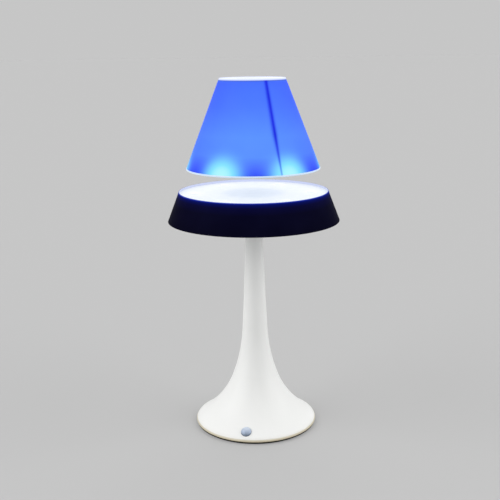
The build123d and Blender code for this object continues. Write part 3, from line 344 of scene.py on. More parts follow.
def four_screws(name, node, head, first_turn, next_turn):
    """The four screws of one node, each tightened to an angle of its own in degrees."""
    low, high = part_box(node)
    pitch = (high.x - screw_head_radius) * sqrt(2)
    for number, seat in enumerate(four_round(pitch, low.z + screw_head_height)):
        turn = radians(first_turn + next_turn * number)
        screw = cross_head_screw(f"{name}_{number + 1}", seat, turn, head, high.z - seat.z)
        fix(screw, screw_steel, "stand", "screw_steel", node)


sunk_head = [
    (0.0015, 0.0),
    (0.00272, 0.00135),
    (screw_head_radius, 0.00155),
    (screw_head_radius * 0.97, screw_head_height),
]
four_screws("base_screw", "base_screws", sunk_head, 17, 31)

# Ballast: a grey iron disc, cast in sand with notches for switch and inlet, that keeps
# the tall lamp from tipping.

ballast_iron = start_finish("ballast_iron", (0.12, 0.12, 0.125), roughness=0.75, metallic=0.6)
sand_skin = grain(ballast_iron, size=0.0015, detail=6.0)
tone_between(ballast_iron, sand_skin, (0.07, 0.065, 0.06), (0.15, 0.15, 0.155))
gloss_between(ballast_iron, sand_skin, 0.6, 0.85)
raise_relief(ballast_iron, sand_skin, depth=0.0002)
dress(ballast_iron, "ballast_disc")

# Stem and base: one hollow trumpet, moulded in glossy white plastic. Its lip, just above the
# black plate, is painted a darker, warmer tone as shade and warm light thrown up by the table.


def spread_tone(finish, factor, stops, curve="LINEAR"):
    """Colour along a factor from 0 to 1, through stops of (place, colour)."""
    ramp = add_node(finish, "ShaderNodeValToRGB", ("Fac", factor))
    ramp.color_ramp.interpolation = curve
    elements = ramp.color_ramp.elements
    elements.remove(elements[-1])
    elements[0].position = stops[0][0]
    elements[0].color = (*stops[0][1], 1.0)
    for place, colour in stops[1:]:
        elements.new(place).color = (*colour, 1.0)
    return ramp.outputs["Color"]


def height_on_piece(finish):
    """Height of a point above the table, in metres."""
    split = add_node(finish, "ShaderNodeSeparateXYZ", ("Vector", place_on_piece(finish)))
    return split.outputs["Z"]


stem_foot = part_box("stem_shell")[0].z
lip_height = 0.0028
stem_tone = (0.90, 0.905, 0.89)
stem_white = start_finish("stem_white", stem_tone, roughness=0.34)
set_shader(stem_white, "Specular IOR Level", 0.35)
# Painted shade: the lip darkens and warms towards the foot, as if lit by the table below.
lip_painted_shade = spread_tone(
    stem_white,
    span(stem_white, height_on_piece(stem_white), stem_foot, stem_foot + 2 * lip_height),
    [
        (0.0, (0.54, 0.48, 0.33)),
        (0.40, (0.68, 0.63, 0.50)),
        (0.55, (0.86, 0.86, 0.83)),
        (1.0, stem_tone),
    ],
)
wire_shader(stem_white, "Base Color", lip_painted_shade)
gloss_between(stem_white, grain(stem_white, size=0.012, detail=1.0), 0.32, 0.37)
raise_relief(stem_white, grain(stem_white, size=0.02, detail=0.0), depth=0.000004)
dress(stem_white, "stem_shell")

# Lamp pipe: a threaded steel tube, zinc plated, that ties ballast, stem and head together
# with three pairs of nut and washer.


def rings_along(finish, pitch):
    """Fine rings about the lamp's axis, a pitch apart."""
    band_at_scale_one = pi / 10
    rings = add_node(
        finish,
        "ShaderNodeTexWave",
        ("Vector", place_on_piece(finish)),
        ("Scale", band_at_scale_one / pitch),
        ("Distortion", 0.0),
        wave_type="BANDS",
        bands_direction="Z",
    )
    return rings.outputs["Fac"]


thread_pitch = 0.001
pipe_steel = plated("pipe_steel", (0.66, 0.64, 0.58), roughness=0.35)
raise_relief(pipe_steel, rings_along(pipe_steel, thread_pitch), depth=0.0003)
dress(pipe_steel, "lamp_pipe")
dress(screw_steel, "pipe_nuts", "pipe_washers")

# Neck bush: a turned bush of black plastic, pushed into the top of the stem, where it
# centres the pipe.

dress(plate_black, "neck_bush")

# Push-button switch: a black moulded housing on a small green board, held by two screws
# to bosses behind the shoulder.


def circuit_board(name, mask_colour, track_colour):
    """Circuit board: solder mask over copper that shows as a lighter maze of tracks."""
    cells_per_metre = 260.0
    finish = start_finish(name, mask_colour, roughness=0.3)
    cells = add_node(
        finish,
        "ShaderNodeTexVoronoi",
        ("Vector", place_on_piece(finish)),
        ("Scale", cells_per_metre),
        ("Randomness", 0.55),
        distance="CHEBYCHEV",
        feature="F1",
    ).outputs["Distance"]
    tone_between(finish, cells, mask_colour, track_colour, 0.42, 0.5)
    gloss_between(finish, cells, 0.25, 0.4)
    raise_relief(finish, cells, depth=0.00003)
    return finish


switch_black = moulded("switch_black", (0.025, 0.025, 0.027), drift=0.8, roughness=0.5)
board_green = circuit_board("board_green", (0.02, 0.16, 0.06), (0.05, 0.27, 0.1))
dress(switch_black, "switch_housing", "switch_plunger")
dress(board_green, "switch_board")
dress(screw_steel, "switch_screws")

# Push button: a moulded dome, satin silver plated. Its colour has painted light at its crown and
# painted shade below, with cloudy patches. Its flange keeps it behind the hole in the shoulder.


def arithmetic(finish, operation, first, second=0.0):
    """One step of arithmetic on values of a finish."""
    step = add_node(finish, "ShaderNodeMath", (0, first), (1, second), operation=operation)
    return step.outputs["Value"]


patch_depth = 0.16
button_low, button_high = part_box("button_cap")
button_silver = start_finish("button_silver", (0.40, 0.45, 0.55), roughness=0.48, metallic=0.3)
button_share = span(button_silver, height_on_piece(button_silver), button_low.z, button_high.z)
button_patches = grain(button_silver, size=0.004)
button_patch_shift = arithmetic(button_silver, "MULTIPLY", button_patches, patch_depth)
# Painted light and shade: lighter towards the crown, darker towards the foot, shifted by patches.
button_painted_light = spread_tone(
    button_silver,
    arithmetic(button_silver, "ADD", button_share, button_patch_shift),
    [
        (0.30, (0.10, 0.13, 0.17)),
        (0.55, (0.21, 0.26, 0.34)),
        (0.80, (0.44, 0.52, 0.66)),
        (1.0, (0.66, 0.74, 0.86)),
    ],
)
wire_shader(button_silver, "Base Color", button_painted_light)
gloss_between(button_silver, grain(button_silver, size=0.0008, detail=5.0), 0.44, 0.54)
raise_relief(button_silver, grain(button_silver, size=0.0003, detail=2.0), depth=0.000002)
dress(button_silver, "button_cap")

# Power inlet: a black barrel with a flange at the back of the base, its nut inside, and
# a nickel-plated centre pin.

inlet_black = moulded("inlet_black", (0.02, 0.02, 0.022), drift=0.8, roughness=0.38)
pin_metal = plated("pin_metal", (0.75, 0.74, 0.7), roughness=0.18)
dress(inlet_black, "jack_body")
dress(screw_steel, "jack_nut")
dress(pin_metal, "jack_pin")

# Driver board: a green board on four brass standoffs over the ballast, held by four
# screws.

standoff_brass = plated("standoff_brass", (0.72, 0.52, 0.22), roughness=0.28)
dress(standoff_brass, "driver_standoffs")
dress(board_green, "driver_board")
dress(screw_steel, "driver_screws")

# Connectors: three white nylon boxes soldered to the driver board, open at the top, with
# two tinned pins each.


def add_block(shape, low, high, softness=0.0):
    """A block between two corners, its edges softened by a size in metres."""
    low = Vector(low)
    size = Vector(high) - low
    corners = bmesh.ops.create_cube(shape, size=1.0)["verts"]
    for corner in corners:
        shares = corner.co + Vector((0.5, 0.5, 0.5))
        corner.co = low + Vector((size.x * shares.x, size.y * shares.y, size.z * shares.z))
    if softness:
        edges = list({edge for corner in corners for edge in corner.link_edges})
        bmesh.ops.bevel(shape, geom=edges, offset=softness, segments=2, affect="EDGES", profile=0.5)


def fix_component(name, shape, finish):
    """A piece on the driver board, which stands for the plain blocks there."""
    fix(piece_from(name, shape), finish, "stand", "component_mix", "driver_components")


driver_low, driver_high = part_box("driver_board")
board_top = driver_high.z
connector_size = Vector((0.007, 0.006, 0.005))
connector_wall = 0.0008
connector_edge = 0.0001
contact_pitch = 0.0026
contact_width = 0.0006
contact_height = 0.0042
connector_places = [
    (-0.014, driver_low.y + connector_size.y / 2),
    (0.0, driver_high.y - connector_size.y / 2),
    (0.0, 0.018),
]
connector_nylon = moulded("connector_nylon", (0.72, 0.7, 0.62), drift=0.92, roughness=0.45)
tinned = plated("tinned", (0.7, 0.68, 0.6), roughness=0.3)
contact_half = Vector((contact_width / 2, contact_width / 2, 0))
contact_rise = Vector((0, 0, contact_height))
connectors = bmesh.new()
contacts = bmesh.new()
for x, y in connector_places:
    low = Vector((x, y, board_top)) - Vector((connector_size.x / 2, connector_size.y / 2, 0))
    high = low + connector_size
    add_block(connectors, low, (high.x, high.y, low.z + connector_wall), connector_edge)
    add_block(connectors, low, (low.x + connector_wall, high.y, high.z), connector_edge)
    add_block(connectors, (high.x - connector_wall, low.y, low.z), high, connector_edge)
    add_block(connectors, low, (high.x, low.y + connector_wall, high.z), connector_edge)
    add_block(connectors, (low.x, high.y - connector_wall, low.z), high, connector_edge)
    for side in (-1, 1):
        foot = Vector((x + side * contact_pitch / 2, y, board_top))
        add_block(contacts, foot - contact_half, foot + contact_half + contact_rise, connector_edge)
fix_component("connector_shells", connectors, connector_nylon)
fix_component("connector_contacts", contacts, tinned)

# Capacitors: two aluminium cans side by side on the driver board, crimped near the foot,
# in shrunk sleeves of dark blue film.

capacitor_radius = 0.004
capacitor_height = 0.009
capacitor_places = [(-0.014, 0.026), (-0.014, 0.0346)]
sleeve_blue = moulded("sleeve_blue", (0.012, 0.02, 0.06), drift=0.85, roughness=0.35)
can_aluminium = plated("can_aluminium", (0.72, 0.73, 0.74), roughness=0.3)
sleeve_outline = [
    (capacitor_radius * 0.84, 0.0),
    (capacitor_radius, 0.0004),
    (capacitor_radius, 0.0012),
    (capacitor_radius * 0.93, 0.0016),
    (capacitor_radius, 0.002),
    (capacitor_radius, capacitor_height - 0.0004),
    (capacitor_radius * 0.84, capacitor_height),
    (capacitor_radius * 0.84, capacitor_height - 0.0003),
]
can_outline = [
    (0, 0.0001),
    (capacitor_radius * 0.83, 0.0001),
    (capacitor_radius * 0.83, capacitor_height - 0.0003),
    (capacitor_radius * 0.7, capacitor_height - 0.0002),
    (0, capacitor_height - 0.0004),
]
can_sides = 32
sleeves = bmesh.new()
cans = bmesh.new()
for x, y in capacitor_places:
    turn_outline(sleeves, sleeve_outline, can_sides, (x, y, board_top), closed=True)
    turn_outline(cans, can_outline, can_sides, (x, y, board_top))
fix_component("capacitor_sleeves", sleeves, sleeve_blue)
fix_component("capacitor_cans", cans, can_aluminium)

# Choke: copper wire wound turn on turn round a ferrite bobbin. It stands on a square foot
# that is soldered to the driver board.


def wound_turns(shape, inner, outer, low, high, wire, sides, centre):
    """A winding of wire laid turn on turn round a core, as one ribbed ring."""
    valley = 0.35
    rib = [(valley, 0.0), (0.06, 0.25), (0.0, 0.5), (0.06, 0.75)]
    turns = max(2, round((high - low) / wire))
    pitch = (high - low) / turns
    outline = [(inner, low)]
    for turn in range(turns):
        base = low + pitch * turn
        outline += [(outer - pitch * sunk, base + pitch * along) for sunk, along in rib]
    outline += [(outer - pitch * valley, high), (inner, high)]
    turn_outline(shape, outline, sides, centre, closed=True)


choke_place = Vector((0.013, 0.026, board_top))
choke_width = 0.011
choke_height = 0.006
choke_foot = 0.0012
choke_flange_radius = choke_width * 0.48
choke_flange = 0.001
choke_core_radius = choke_width * 0.3
choke_winding_radius = choke_width * 0.44
choke_wire_size = 0.0005
choke_edge = 0.0004
choke_sides = 40
ferrite = moulded(
    "ferrite", (0.05, 0.05, 0.055), drift=0.8, roughness=0.6, grain_size=0.0004, depth=0.00003
)
choke_copper = start_finish("choke_copper", (0.6, 0.24, 0.08), roughness=0.3, metallic=0.85)
tone_between(choke_copper, grain(choke_copper, size=0.0006), (0.42, 0.14, 0.04), (0.66, 0.27, 0.1))
enamel_waves = grain(choke_copper, size=0.0004)
gloss_between(choke_copper, enamel_waves, 0.24, 0.38)
raise_relief(choke_copper, enamel_waves, depth=0.000004)
choke_outline = [
    (0, choke_foot),
    (choke_flange_radius, choke_foot),
    (choke_flange_radius, choke_foot + choke_flange),
    (choke_core_radius, choke_foot + choke_flange),
    (choke_core_radius, choke_height - choke_flange),
    (choke_flange_radius, choke_height - choke_flange),
    (choke_flange_radius, choke_height),
    (0, choke_height),
]
choke_core = bmesh.new()
half_foot = Vector((choke_width / 2, choke_width / 2, 0))
foot_rise = Vector((0, 0, choke_foot))
add_block(choke_core, choke_place - half_foot, choke_place + half_foot + foot_rise, choke_edge)
turn_outline(choke_core, choke_outline, choke_sides, choke_place)
choke_wire = bmesh.new()
wound_turns(
    choke_wire,
    choke_core_radius,
    choke_winding_radius,
    choke_foot + choke_flange,
    choke_height - choke_flange,
    choke_wire_size,
    choke_sides,
    choke_place,
)
fix_component("choke_core", choke_core, ferrite)
fix_component("choke_winding", choke_wire, choke_copper)

# Chip: a black moulded body between two rows of four tinned legs, which are soldered to
# the driver board.

chip_size = 0.005
chip_height = 0.0014
chip_stand = 0.0002
chip_edge = 0.00012
chip_half_depth = chip_size * 0.36
legs_a_side = 4
leg_width = 0.0004
leg_reach = chip_size * 0.16
leg_offset = chip_size * 0.42
leg_rise = 1.5 * chip_stand
chip_place = Vector((0.0, 0.026, board_top))
chip_black = moulded("chip_black", (0.015, 0.015, 0.017), drift=0.85, roughness=0.55)
chip_body = bmesh.new()
chip_half = Vector((chip_size / 2, chip_half_depth, 0))
add_block(
    chip_body,
    chip_place - chip_half + Vector((0, 0, chip_stand)),
    chip_place + chip_half + Vector((0, 0, chip_height)),
    chip_edge,
)
chip_legs = bmesh.new()
for side in (-1, 1):
    for step in range(legs_a_side):
        along = chip_size * (step - (legs_a_side - 1) / 2) / legs_a_side
        leg = chip_place + Vector((along, side * leg_offset, 0))
        half_leg = Vector((leg_width / 2, leg_reach / 2, 0))
        add_block(chip_legs, leg - half_leg, leg + half_leg + Vector((0, 0, leg_rise)))
fix_component("chip_body", chip_body, chip_black)
fix_component("chip_legs", chip_legs, tinned)

# Leads: two-core leads in soft black jackets. The cable goes up inside the pipe, and
# short leads join switch, inlet and light board.

lead_jacket = moulded(
    "lead_jacket", (0.025, 0.025, 0.027), drift=0.8, roughness=0.6, grain_size=0.0005, depth=0.00002
)
dress(lead_jacket, "jack_lead", "switch_lead", "stem_cable", "light_lead")

# Head housing: a shallow conical tray moulded in satin white, with a collar that seats
# on the stem, posts for the light board and holes for the down lights.

housing_white = moulded("housing_white", (0.80, 0.81, 0.81), drift=0.96, roughness=0.42)
dress(housing_white, "housing_shell", "coil_spacers")

# Head screws: four pan-head screws with a cross, through the tray's floor into the bosses
# of the top plate.

pan_head = [
    (0.0027, 0.0),
    (screw_head_radius, 0.0003),
    (0.00272, 0.0009),
    (0.0024, 0.0013),
    (0.0018, 0.00152),
    (0.001, screw_head_height),
]
four_screws("head_screw", "head_screws", pan_head, 40, 23)

# Chassis plate: a sheet-steel disc with four ears, bolted down by the pipe's head nut.
# The coils and the ring magnet stand on it.

dress(plated("chassis_steel", (0.66, 0.65, 0.6), roughness=0.4), "chassis_plate")

# Ring magnet and clamp: a nickel-plated ring that lifts the shade, held down by a cast
# aluminium clamp with four posts and screws from below.

magnet_nickel = plated("magnet_nickel", (0.62, 0.6, 0.57), roughness=0.16)
clamp_aluminium = plated("clamp_aluminium", (0.75, 0.76, 0.78), roughness=0.45)
dress(magnet_nickel, "ring_magnet")
dress(clamp_aluminium, "magnet_clamp")
dress(screw_steel, "clamp_screws")

# Coils: soft iron cores in nylon bobbins, wound turn on turn with enamelled copper wire,
# on a green board that stands on spacers.

core_iron = start_finish("core_iron", (0.25, 0.25, 0.26), roughness=0.5, metallic=0.9)
tone_between(core_iron, grain(core_iron, size=0.002), (0.2, 0.2, 0.21), (0.3, 0.3, 0.31))
core_marks = grain(core_iron, size=0.001)
gloss_between(core_iron, core_marks, 0.4, 0.6)
raise_relief(core_iron, core_marks, depth=0.00001)
dress(core_iron, "coil_cores")
dress(moulded("bobbin_nylon", (0.75, 0.71, 0.6), drift=0.9, roughness=0.5), "coil_bobbins")
dress(board_green, "coil_board")
dress(screw_steel, "coil_screws")
winding_copper = start_finish("winding_copper", (0.62, 0.25, 0.09), roughness=0.28, metallic=0.85)
winding_drift = grain(winding_copper, size=0.0008)
tone_between(winding_copper, winding_drift, (0.44, 0.15, 0.045), (0.68, 0.28, 0.1))
winding_waves = grain(winding_copper, size=0.0005)
gloss_between(winding_copper, winding_waves, 0.22, 0.36)
raise_relief(winding_copper, winding_waves, depth=0.000004)
copper_low, copper_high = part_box("coil_windings")
bobbin_tube_radius = 0.0062
copper_radius = 0.0106
copper_wire = 0.0007
copper_sides = 36
copper_pitch = (copper_high.x - copper_radius) * sqrt(2)
for number, centre in enumerate(four_round(copper_pitch, 0.0)):
    copper = bmesh.new()
    wound_turns(
        copper,
        bobbin_tube_radius,
        copper_radius,
        copper_low.z,
        copper_high.z,
        copper_wire,
        copper_sides,
        centre,
    )
    winding = piece_from(f"coil_winding_{number + 1}", copper)
    fix(winding, winding_copper, "stand", "winding_copper", "coil_windings")

# Sensor board: a green disc across the coils with three small field sensors under it,
# which tell the coils where the shade's magnet is.

dress(board_green, "sensor_board")
dress(switch_black, "hall_sensors")
dress(screw_steel, "sensor_screws")
dress(connector_nylon, "light_plug", "coil_plugs")

# Lights: a ring of white circuit board on the tray's posts, with six lights on top and
# six below. Each is a white frame round a yellow phosphor window.

light_board_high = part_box("light_board")[1]
light_half = 0.0025
light_frame_width = 0.0008
window_drop = 0.0003
light_board_half_width = 0.008
light_pitch = light_board_high.x - light_board_half_width
light_count = 6
light_step = 2 * pi / light_count
first_light = radians(2)
light_turns = [first_light + light_step * k for k in range(light_count)]
light_places = [Vector((light_pitch * cos(turn), light_pitch * sin(turn), 0)) for turn in light_turns]


def add_light(frames, windows, centre, back, face):
    """One light from its back to its face: a square frame and the window sunk in it."""
    inner = light_half - light_frame_width
    sides = [
        ((-light_half, -light_half), (light_half, -inner)),
        ((-light_half, inner), (light_half, light_half)),
        ((-light_half, -inner), (-inner, inner)),
        ((inner, -inner), (light_half, inner)),
    ]
    below = min(back, face)
    above = max(back, face)
    for low, high in sides:
        add_block(frames, centre + Vector((*low, below)), centre + Vector((*high, above)))
    sunk = face - window_drop if face > back else face + window_drop
    add_block(
        windows,
        centre + Vector((-inner, -inner, min(back, sunk))),
        centre + Vector((inner, inner, max(back, sunk))),
    )


light_ceramic = moulded("light_ceramic", (0.82, 0.82, 0.8), drift=0.95, roughness=0.5)
light_phosphor = moulded("light_phosphor", (0.82, 0.66, 0.14), drift=0.92, roughness=0.4)
up_low, up_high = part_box("lights")
down_low, down_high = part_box("down_lights")
for name, back, face, node in (
    ("up", up_low.z, up_high.z, "lights"),
    ("down", down_high.z, down_low.z, "down_lights"),
):
    frames = bmesh.new()
    windows = bmesh.new()
    for spot in light_places:
        add_light(frames, windows, spot, back, face)
    fix(piece_from(f"{name}_light_frames", frames), light_ceramic, "stand", "light_chip", node)
    fix(piece_from(f"{name}_light_windows", windows), light_phosphor, "stand", "light_chip", node)
board_white = circuit_board("board_white", (0.8, 0.8, 0.78), (0.72, 0.72, 0.7))
dress(board_white, "light_board")
dress(screw_steel, "light_screws")

# Lenses and guides: clear acrylic. Six lenses lie flush in the top plate over the lights,
# and six guides take the lower lights' glow through the tray's floor.


def glow(finish, colour, strength):
    """Light that a piece gives off, the same all over."""
    set_shader(finish, "Emission Color", (*colour, 1.0))
    set_shader(finish, "Emission Strength", strength)


def stepped_dome(radius, rim, crown, steps=4):
    """Outline of a lens face with fine concentric steps, from its rim to its middle."""
    dome_share = 0.8
    riser_share = 0.18
    riser_slope = 0.97
    outline = []
    for step in range(steps):
        inward = 1 - step / steps
        height = rim + (crown - rim) * dome_share * (1 - inward**2)
        outline.append((radius * inward, height))
        outline.append((radius * inward * riser_slope, height + (crown - rim) * riser_share))
    return outline + [(0, crown)]


lens_clear = start_finish("lens_clear", (0.38, 0.42, 0.46), roughness=0.12)
set_shader(lens_clear, "Coat Weight", 0.3)
glow(lens_clear, (0.92, 0.97, 1.0), strength=0.52)
lens_ripple = grain(lens_clear, size=0.0012, detail=1.0)
tone_between(lens_clear, lens_ripple, (0.35, 0.39, 0.43), (0.40, 0.44, 0.48))
gloss_between(lens_clear, lens_ripple, 0.08, 0.2)
raise_relief(lens_clear, lens_ripple, depth=0.00001)
lens_low, lens_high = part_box("light_lenses")
plate_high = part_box("top_plate")[1]
plate_thickness = 0.002
plate_underside = plate_high.z - plate_thickness
face_share = 0.94
lens_rim_share = 0.2
lens_sides = 36
lens_radius = 0.006
lens_flange_radius = 0.0074
lens_outline = [
    (0, lens_low.z),
    (lens_flange_radius, lens_low.z),
    (lens_flange_radius, plate_underside),
    (lens_radius, plate_underside),
    (lens_radius, plate_high.z),
]
lens_rim = plate_high.z + (lens_high.z - plate_high.z) * lens_rim_share
lens_outline += stepped_dome(lens_radius * face_share, lens_rim, lens_high.z)
guide_low, guide_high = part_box("down_light_guides")
guide_radius = 0.004
guide_flange_radius = 0.0054
guide_flange_height = 0.0014
guide_stand_out = 0.001
guide_rim_drop = 0.0002
guide_sides = 32
tray_thickness = 0.0025
tray_bottom = guide_low.z + guide_stand_out
tray_floor = tray_bottom + tray_thickness
guide_outline = [
    (0, guide_high.z),
    (guide_radius, guide_high.z),
    (guide_radius, tray_floor + guide_flange_height),
    (guide_flange_radius, tray_floor + guide_flange_height),
    (guide_flange_radius, tray_floor),
    (guide_radius, tray_floor),
    (guide_radius, tray_bottom),
]
guide_rim = tray_bottom - guide_rim_drop
guide_outline += stepped_dome(guide_radius * face_share, guide_rim, guide_low.z)
lenses = bmesh.new()
guides = bmesh.new()
for spot in light_places:
    turn_outline(lenses, lens_outline, lens_sides, spot)
    turn_outline(guides, guide_outline, guide_sides, spot)
fix(piece_from("lenses", lenses), lens_clear, "stand", "lens_clear", "light_lenses")
fix(piece_from("down_guides", guides), lens_clear, "stand", "lens_clear", "down_light_guides")

# Top plate: a disc of white diffusing plastic, held by screws from below. It glows with
# the lights under it, most over the lights and least in the middle, where the coils are.


def round_place(finish):
    """Distance from the lamp's axis, angle round it and height of a point."""
    split = add_node(finish, "ShaderNodeSeparateXYZ", ("Vector", place_on_piece(finish)))
    x = split.outputs["X"]
    y = split.outputs["Y"]
    x_square = arithmetic(finish, "MULTIPLY", x, x)
    y_square = arithmetic(finish, "MULTIPLY", y, y)
    radius = arithmetic(finish, "SQRT", arithmetic(finish, "ADD", x_square, y_square))
    return radius, arithmetic(finish, "ARCTAN2", y, x), split.outputs["Z"]


def off_from(finish, value, middle, width):
    """The square of how far a value is from a middle, in widths."""
    away = arithmetic(finish, "DIVIDE", arithmetic(finish, "SUBTRACT", value, middle), width)
    return arithmetic(finish, "MULTIPLY", away, away)


def near_lights(finish, turn, width):
    """The square of how far a point is turned from the nearest light, in widths."""
    past_first = arithmetic(finish, "SUBTRACT", turn, first_light)
    return off_from(finish, arithmetic(finish, "PINGPONG", past_first, light_step / 2), 0.0, width)


def fade(finish, first_square, second_square=0.0):
    """A soft spot: 1 in its middle, falling away with the squares of two distances."""
    total = arithmetic(finish, "ADD", first_square, second_square)
    return arithmetic(finish, "EXPONENT", arithmetic(finish, "MULTIPLY", total, -1.0))


def blend_tones(finish, factor, low_colour, high_colour):
    """Mix of two colours, each plain or wired."""
    tones = [
        (*tone, 1.0) if isinstance(tone, tuple) else tone
        for tone in (low_colour, high_colour)
    ]
    mix = add_node(
        finish, "ShaderNodeMix", (0, factor), (6, tones[0]), (7, tones[1]), data_type="RGBA"
    )
    return mix.outputs[2]


plate_spot_turn = 0.2
plate_spot_size = 0.012
plate_white = start_finish("plate_white", (0.38, 0.39, 0.41), roughness=0.35)
set_shader(plate_white, "Emission Strength", 0.50)
set_shader(plate_white, "Specular IOR Level", 0.2)
plate_radius, plate_turn, _ = round_place(plate_white)
plate_glow = spread_tone(
    plate_white,
    arithmetic(plate_white, "DIVIDE", plate_radius, plate_high.x),
    [
        (0.0, (0.62, 0.72, 0.88)),
        (0.28, (0.66, 0.76, 0.90)),
        (0.5, (0.84, 0.90, 0.98)),
        (1.0, (0.88, 0.93, 0.98)),
    ],
    "EASE",
)
lit_spots = fade(
    plate_white,
    near_lights(plate_white, plate_turn, plate_spot_turn),
    off_from(plate_white, plate_radius, light_pitch, plate_spot_size),
)
spotted_glow = blend_tones(plate_white, lit_spots, plate_glow, (0.97, 0.99, 1.0))
wire_shader(plate_white, "Emission Color", spotted_glow)
plate_cloud = grain(plate_white, size=0.01, detail=2.0)
tone_between(plate_white, plate_cloud, (0.36, 0.37, 0.39), (0.39, 0.40, 0.42))
plate_grain = grain(plate_white, size=0.0006)
gloss_between(plate_white, plate_grain, 0.3, 0.42)
raise_relief(plate_white, plate_grain, depth=0.000006)
dress(plate_white, "top_plate")

# Lower shade: a band of dark blue film glued round the housing, unlit. Its top edge carries light
# from the head as a blue line, and its pale inside above the plate has a painted glow of that light.

band_low, band_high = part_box("lower_shade")
band_foot_radius = band_high.x
band_top_radius = 0.0922
band_wall = 0.0008
inside_start = band_wall * 0.4
inside_full = band_wall * 0.6
film_navy = start_finish("film_navy", (0.002, 0.002, 0.008), roughness=0.5)
set_shader(film_navy, "Specular IOR Level", 0.01)
set_shader(film_navy, "IOR", 1.3)
set_shader(film_navy, "Emission Strength", 0.8)
navy_radius, _, navy_height = round_place(film_navy)
band_share = span(film_navy, navy_height, band_low.z, band_high.z)
band_outside = span(film_navy, band_share, 0.0, 1.0, band_foot_radius, band_top_radius)
band_depth = arithmetic(film_navy, "SUBTRACT", band_outside, navy_radius)
band_inside = span(film_navy, band_depth, inside_start, inside_full)
navy_tone = spread_tone(
    film_navy,
    grain(film_navy, size=0.03, detail=2.0),
    [(0.3, (0.0015, 0.0015, 0.007)), (0.7, (0.0025, 0.0025, 0.011))],
)
edge_glow = spread_tone(
    film_navy,
    band_share,
    [
        (0.0, (0.0006, 0.0004, 0.003)),
        (0.62, (0.001, 0.0008, 0.008)),
        (0.84, (0.0015, 0.0015, 0.030)),
        (0.94, (0.001, 0.004, 0.11)),
        (0.975, (0.003, 0.012, 0.30)),
        (0.99, (0.05, 0.09, 0.60)),
    ],
)
band_tone = blend_tones(film_navy, band_inside, navy_tone, (0.40, 0.42, 0.52))
# Painted light: the inner face glows as if lit by the head's lights.
band_painted_glow = blend_tones(film_navy, band_inside, edge_glow, (0.36, 0.40, 0.55))
wire_shader(film_navy, "Base Color", band_tone)
wire_shader(film_navy, "Emission Color", band_painted_glow)
navy_grain = grain(film_navy, size=0.004, detail=2.0)
gloss_between(film_navy, navy_grain, 0.45, 0.55)
raise_relief(film_navy, navy_grain, depth=0.000008)
dress(film_navy, "lower_shade")

# Float magnet and keeper: the nickel-plated disc magnet that the head holds up, with a
# steel keeper on its back.

dress(magnet_nickel, "float_magnet", "magnet_keeper")

# Spider: a white moulding with a cup for the magnet and four tapered spokes, glued into
# the bottom hoop. A cap with four screws closes the cup.

hub_white_painted_glow = moulded("hub_white_painted_glow", (0.78, 0.79, 0.82), drift=0.96, roughness=0.4)
# A faint painted glow: the head's light striking the white moulding.
glow(hub_white_painted_glow, (0.85, 0.9, 1.0), strength=0.1)
dress(hub_white_painted_glow, "shade_spider", "hub_cap")
dress(screw_steel, "cap_screws")

# Bottom hoop: a white ring round the foot of the floating shade. The head's light
# strikes it from below and gives it a cool glow.

hoop_white = moulded("hoop_white", (0.46, 0.54, 0.66), drift=0.96, roughness=0.35)
glow(hoop_white, (0.66, 0.86, 1.0), strength=0.40)
dress(hoop_white, "bottom_hoop")

# Upper shade: a cone of translucent blue film, lapped and glued in one seam. Lit from
# below it glows, most over each light, and the double film of the seam stays dark.

film_low, film_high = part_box("upper_shade")
film_blue = start_finish("film_blue", (0.012, 0.025, 0.16), roughness=0.42)
set_shader(film_blue, "Specular IOR Level", 0.05)
set_shader(film_blue, "Emission Strength", 1.0)
film_radius, film_turn, film_height = round_place(film_blue)
film_share = span(film_blue, film_height, film_low.z, film_high.z)
# At the very top the film is painted white as a brightly lit cut edge, over a painted darker line.
film_glow = spread_tone(
    film_blue,
    film_share,
    [
        (0.0, (0.024, 0.060, 0.74)),
        (0.03, (0.036, 0.088, 0.84)),
        (0.08, (0.060, 0.136, 0.90)),
        (0.19, (0.094, 0.262, 0.93)),
        (0.39, (0.098, 0.276, 0.93)),
        (0.70, (0.068, 0.186, 0.93)),
        (0.90, (0.058, 0.160, 0.92)),
        (0.962, (0.054, 0.146, 0.92)),
        (0.970, (0.046, 0.120, 0.66)),
        (0.978, (0.085, 0.165, 0.60)),
        (0.985, (0.70, 0.76, 0.90)),
        (1.0, (0.84, 0.89, 0.97)),
    ],
)

# The film's glow is strongest at front and back, where two lights lie side by side, and
# up to a third weaker at the sides.
side_dimming = 0.34
dimming_end = (0.95, 0.97)
film_side = arithmetic(film_blue, "COSINE", film_turn)
film_side_square = arithmetic(film_blue, "MULTIPLY", film_side, film_side)
film_even = span(film_blue, film_side_square, 0.0, 1.0, 0.0, side_dimming)
film_below_rim = span(film_blue, film_share, *dimming_end, 1.0, 0.0)
film_dimming = arithmetic(film_blue, "MULTIPLY", film_even, film_below_rim)
uneven_glow = blend_tones(film_blue, film_dimming, film_glow, (0.02, 0.03, 0.80))

# Each light makes a pale blue spot at the film's foot, larger at front and back.
film_spot_turn = 0.2125
film_spot_share = 0.127
front_reach = 3.6
side_reach = 1.2
soft_spots = fade(
    film_blue,
    near_lights(film_blue, film_turn, film_spot_turn),
    off_from(film_blue, film_share, 0.0, film_spot_share),
)
spot_reach = span(film_blue, film_side_square, 0.0, 1.0, front_reach, side_reach)
spot_strength = arithmetic(film_blue, "MULTIPLY", soft_spots, spot_reach)
film_spots = arithmetic(film_blue, "SUBTRACT", 1.0, fade(film_blue, spot_strength))
spot_tone = spread_tone(
    film_blue,
    film_spots,
    [(0.0, (0.28, 0.93, 0.95)), (0.78, (0.28, 0.93, 0.95)), (0.97, (0.46, 0.96, 0.96))],
)
lit_film = blend_tones(film_blue, film_spots, uneven_glow, spot_tone)

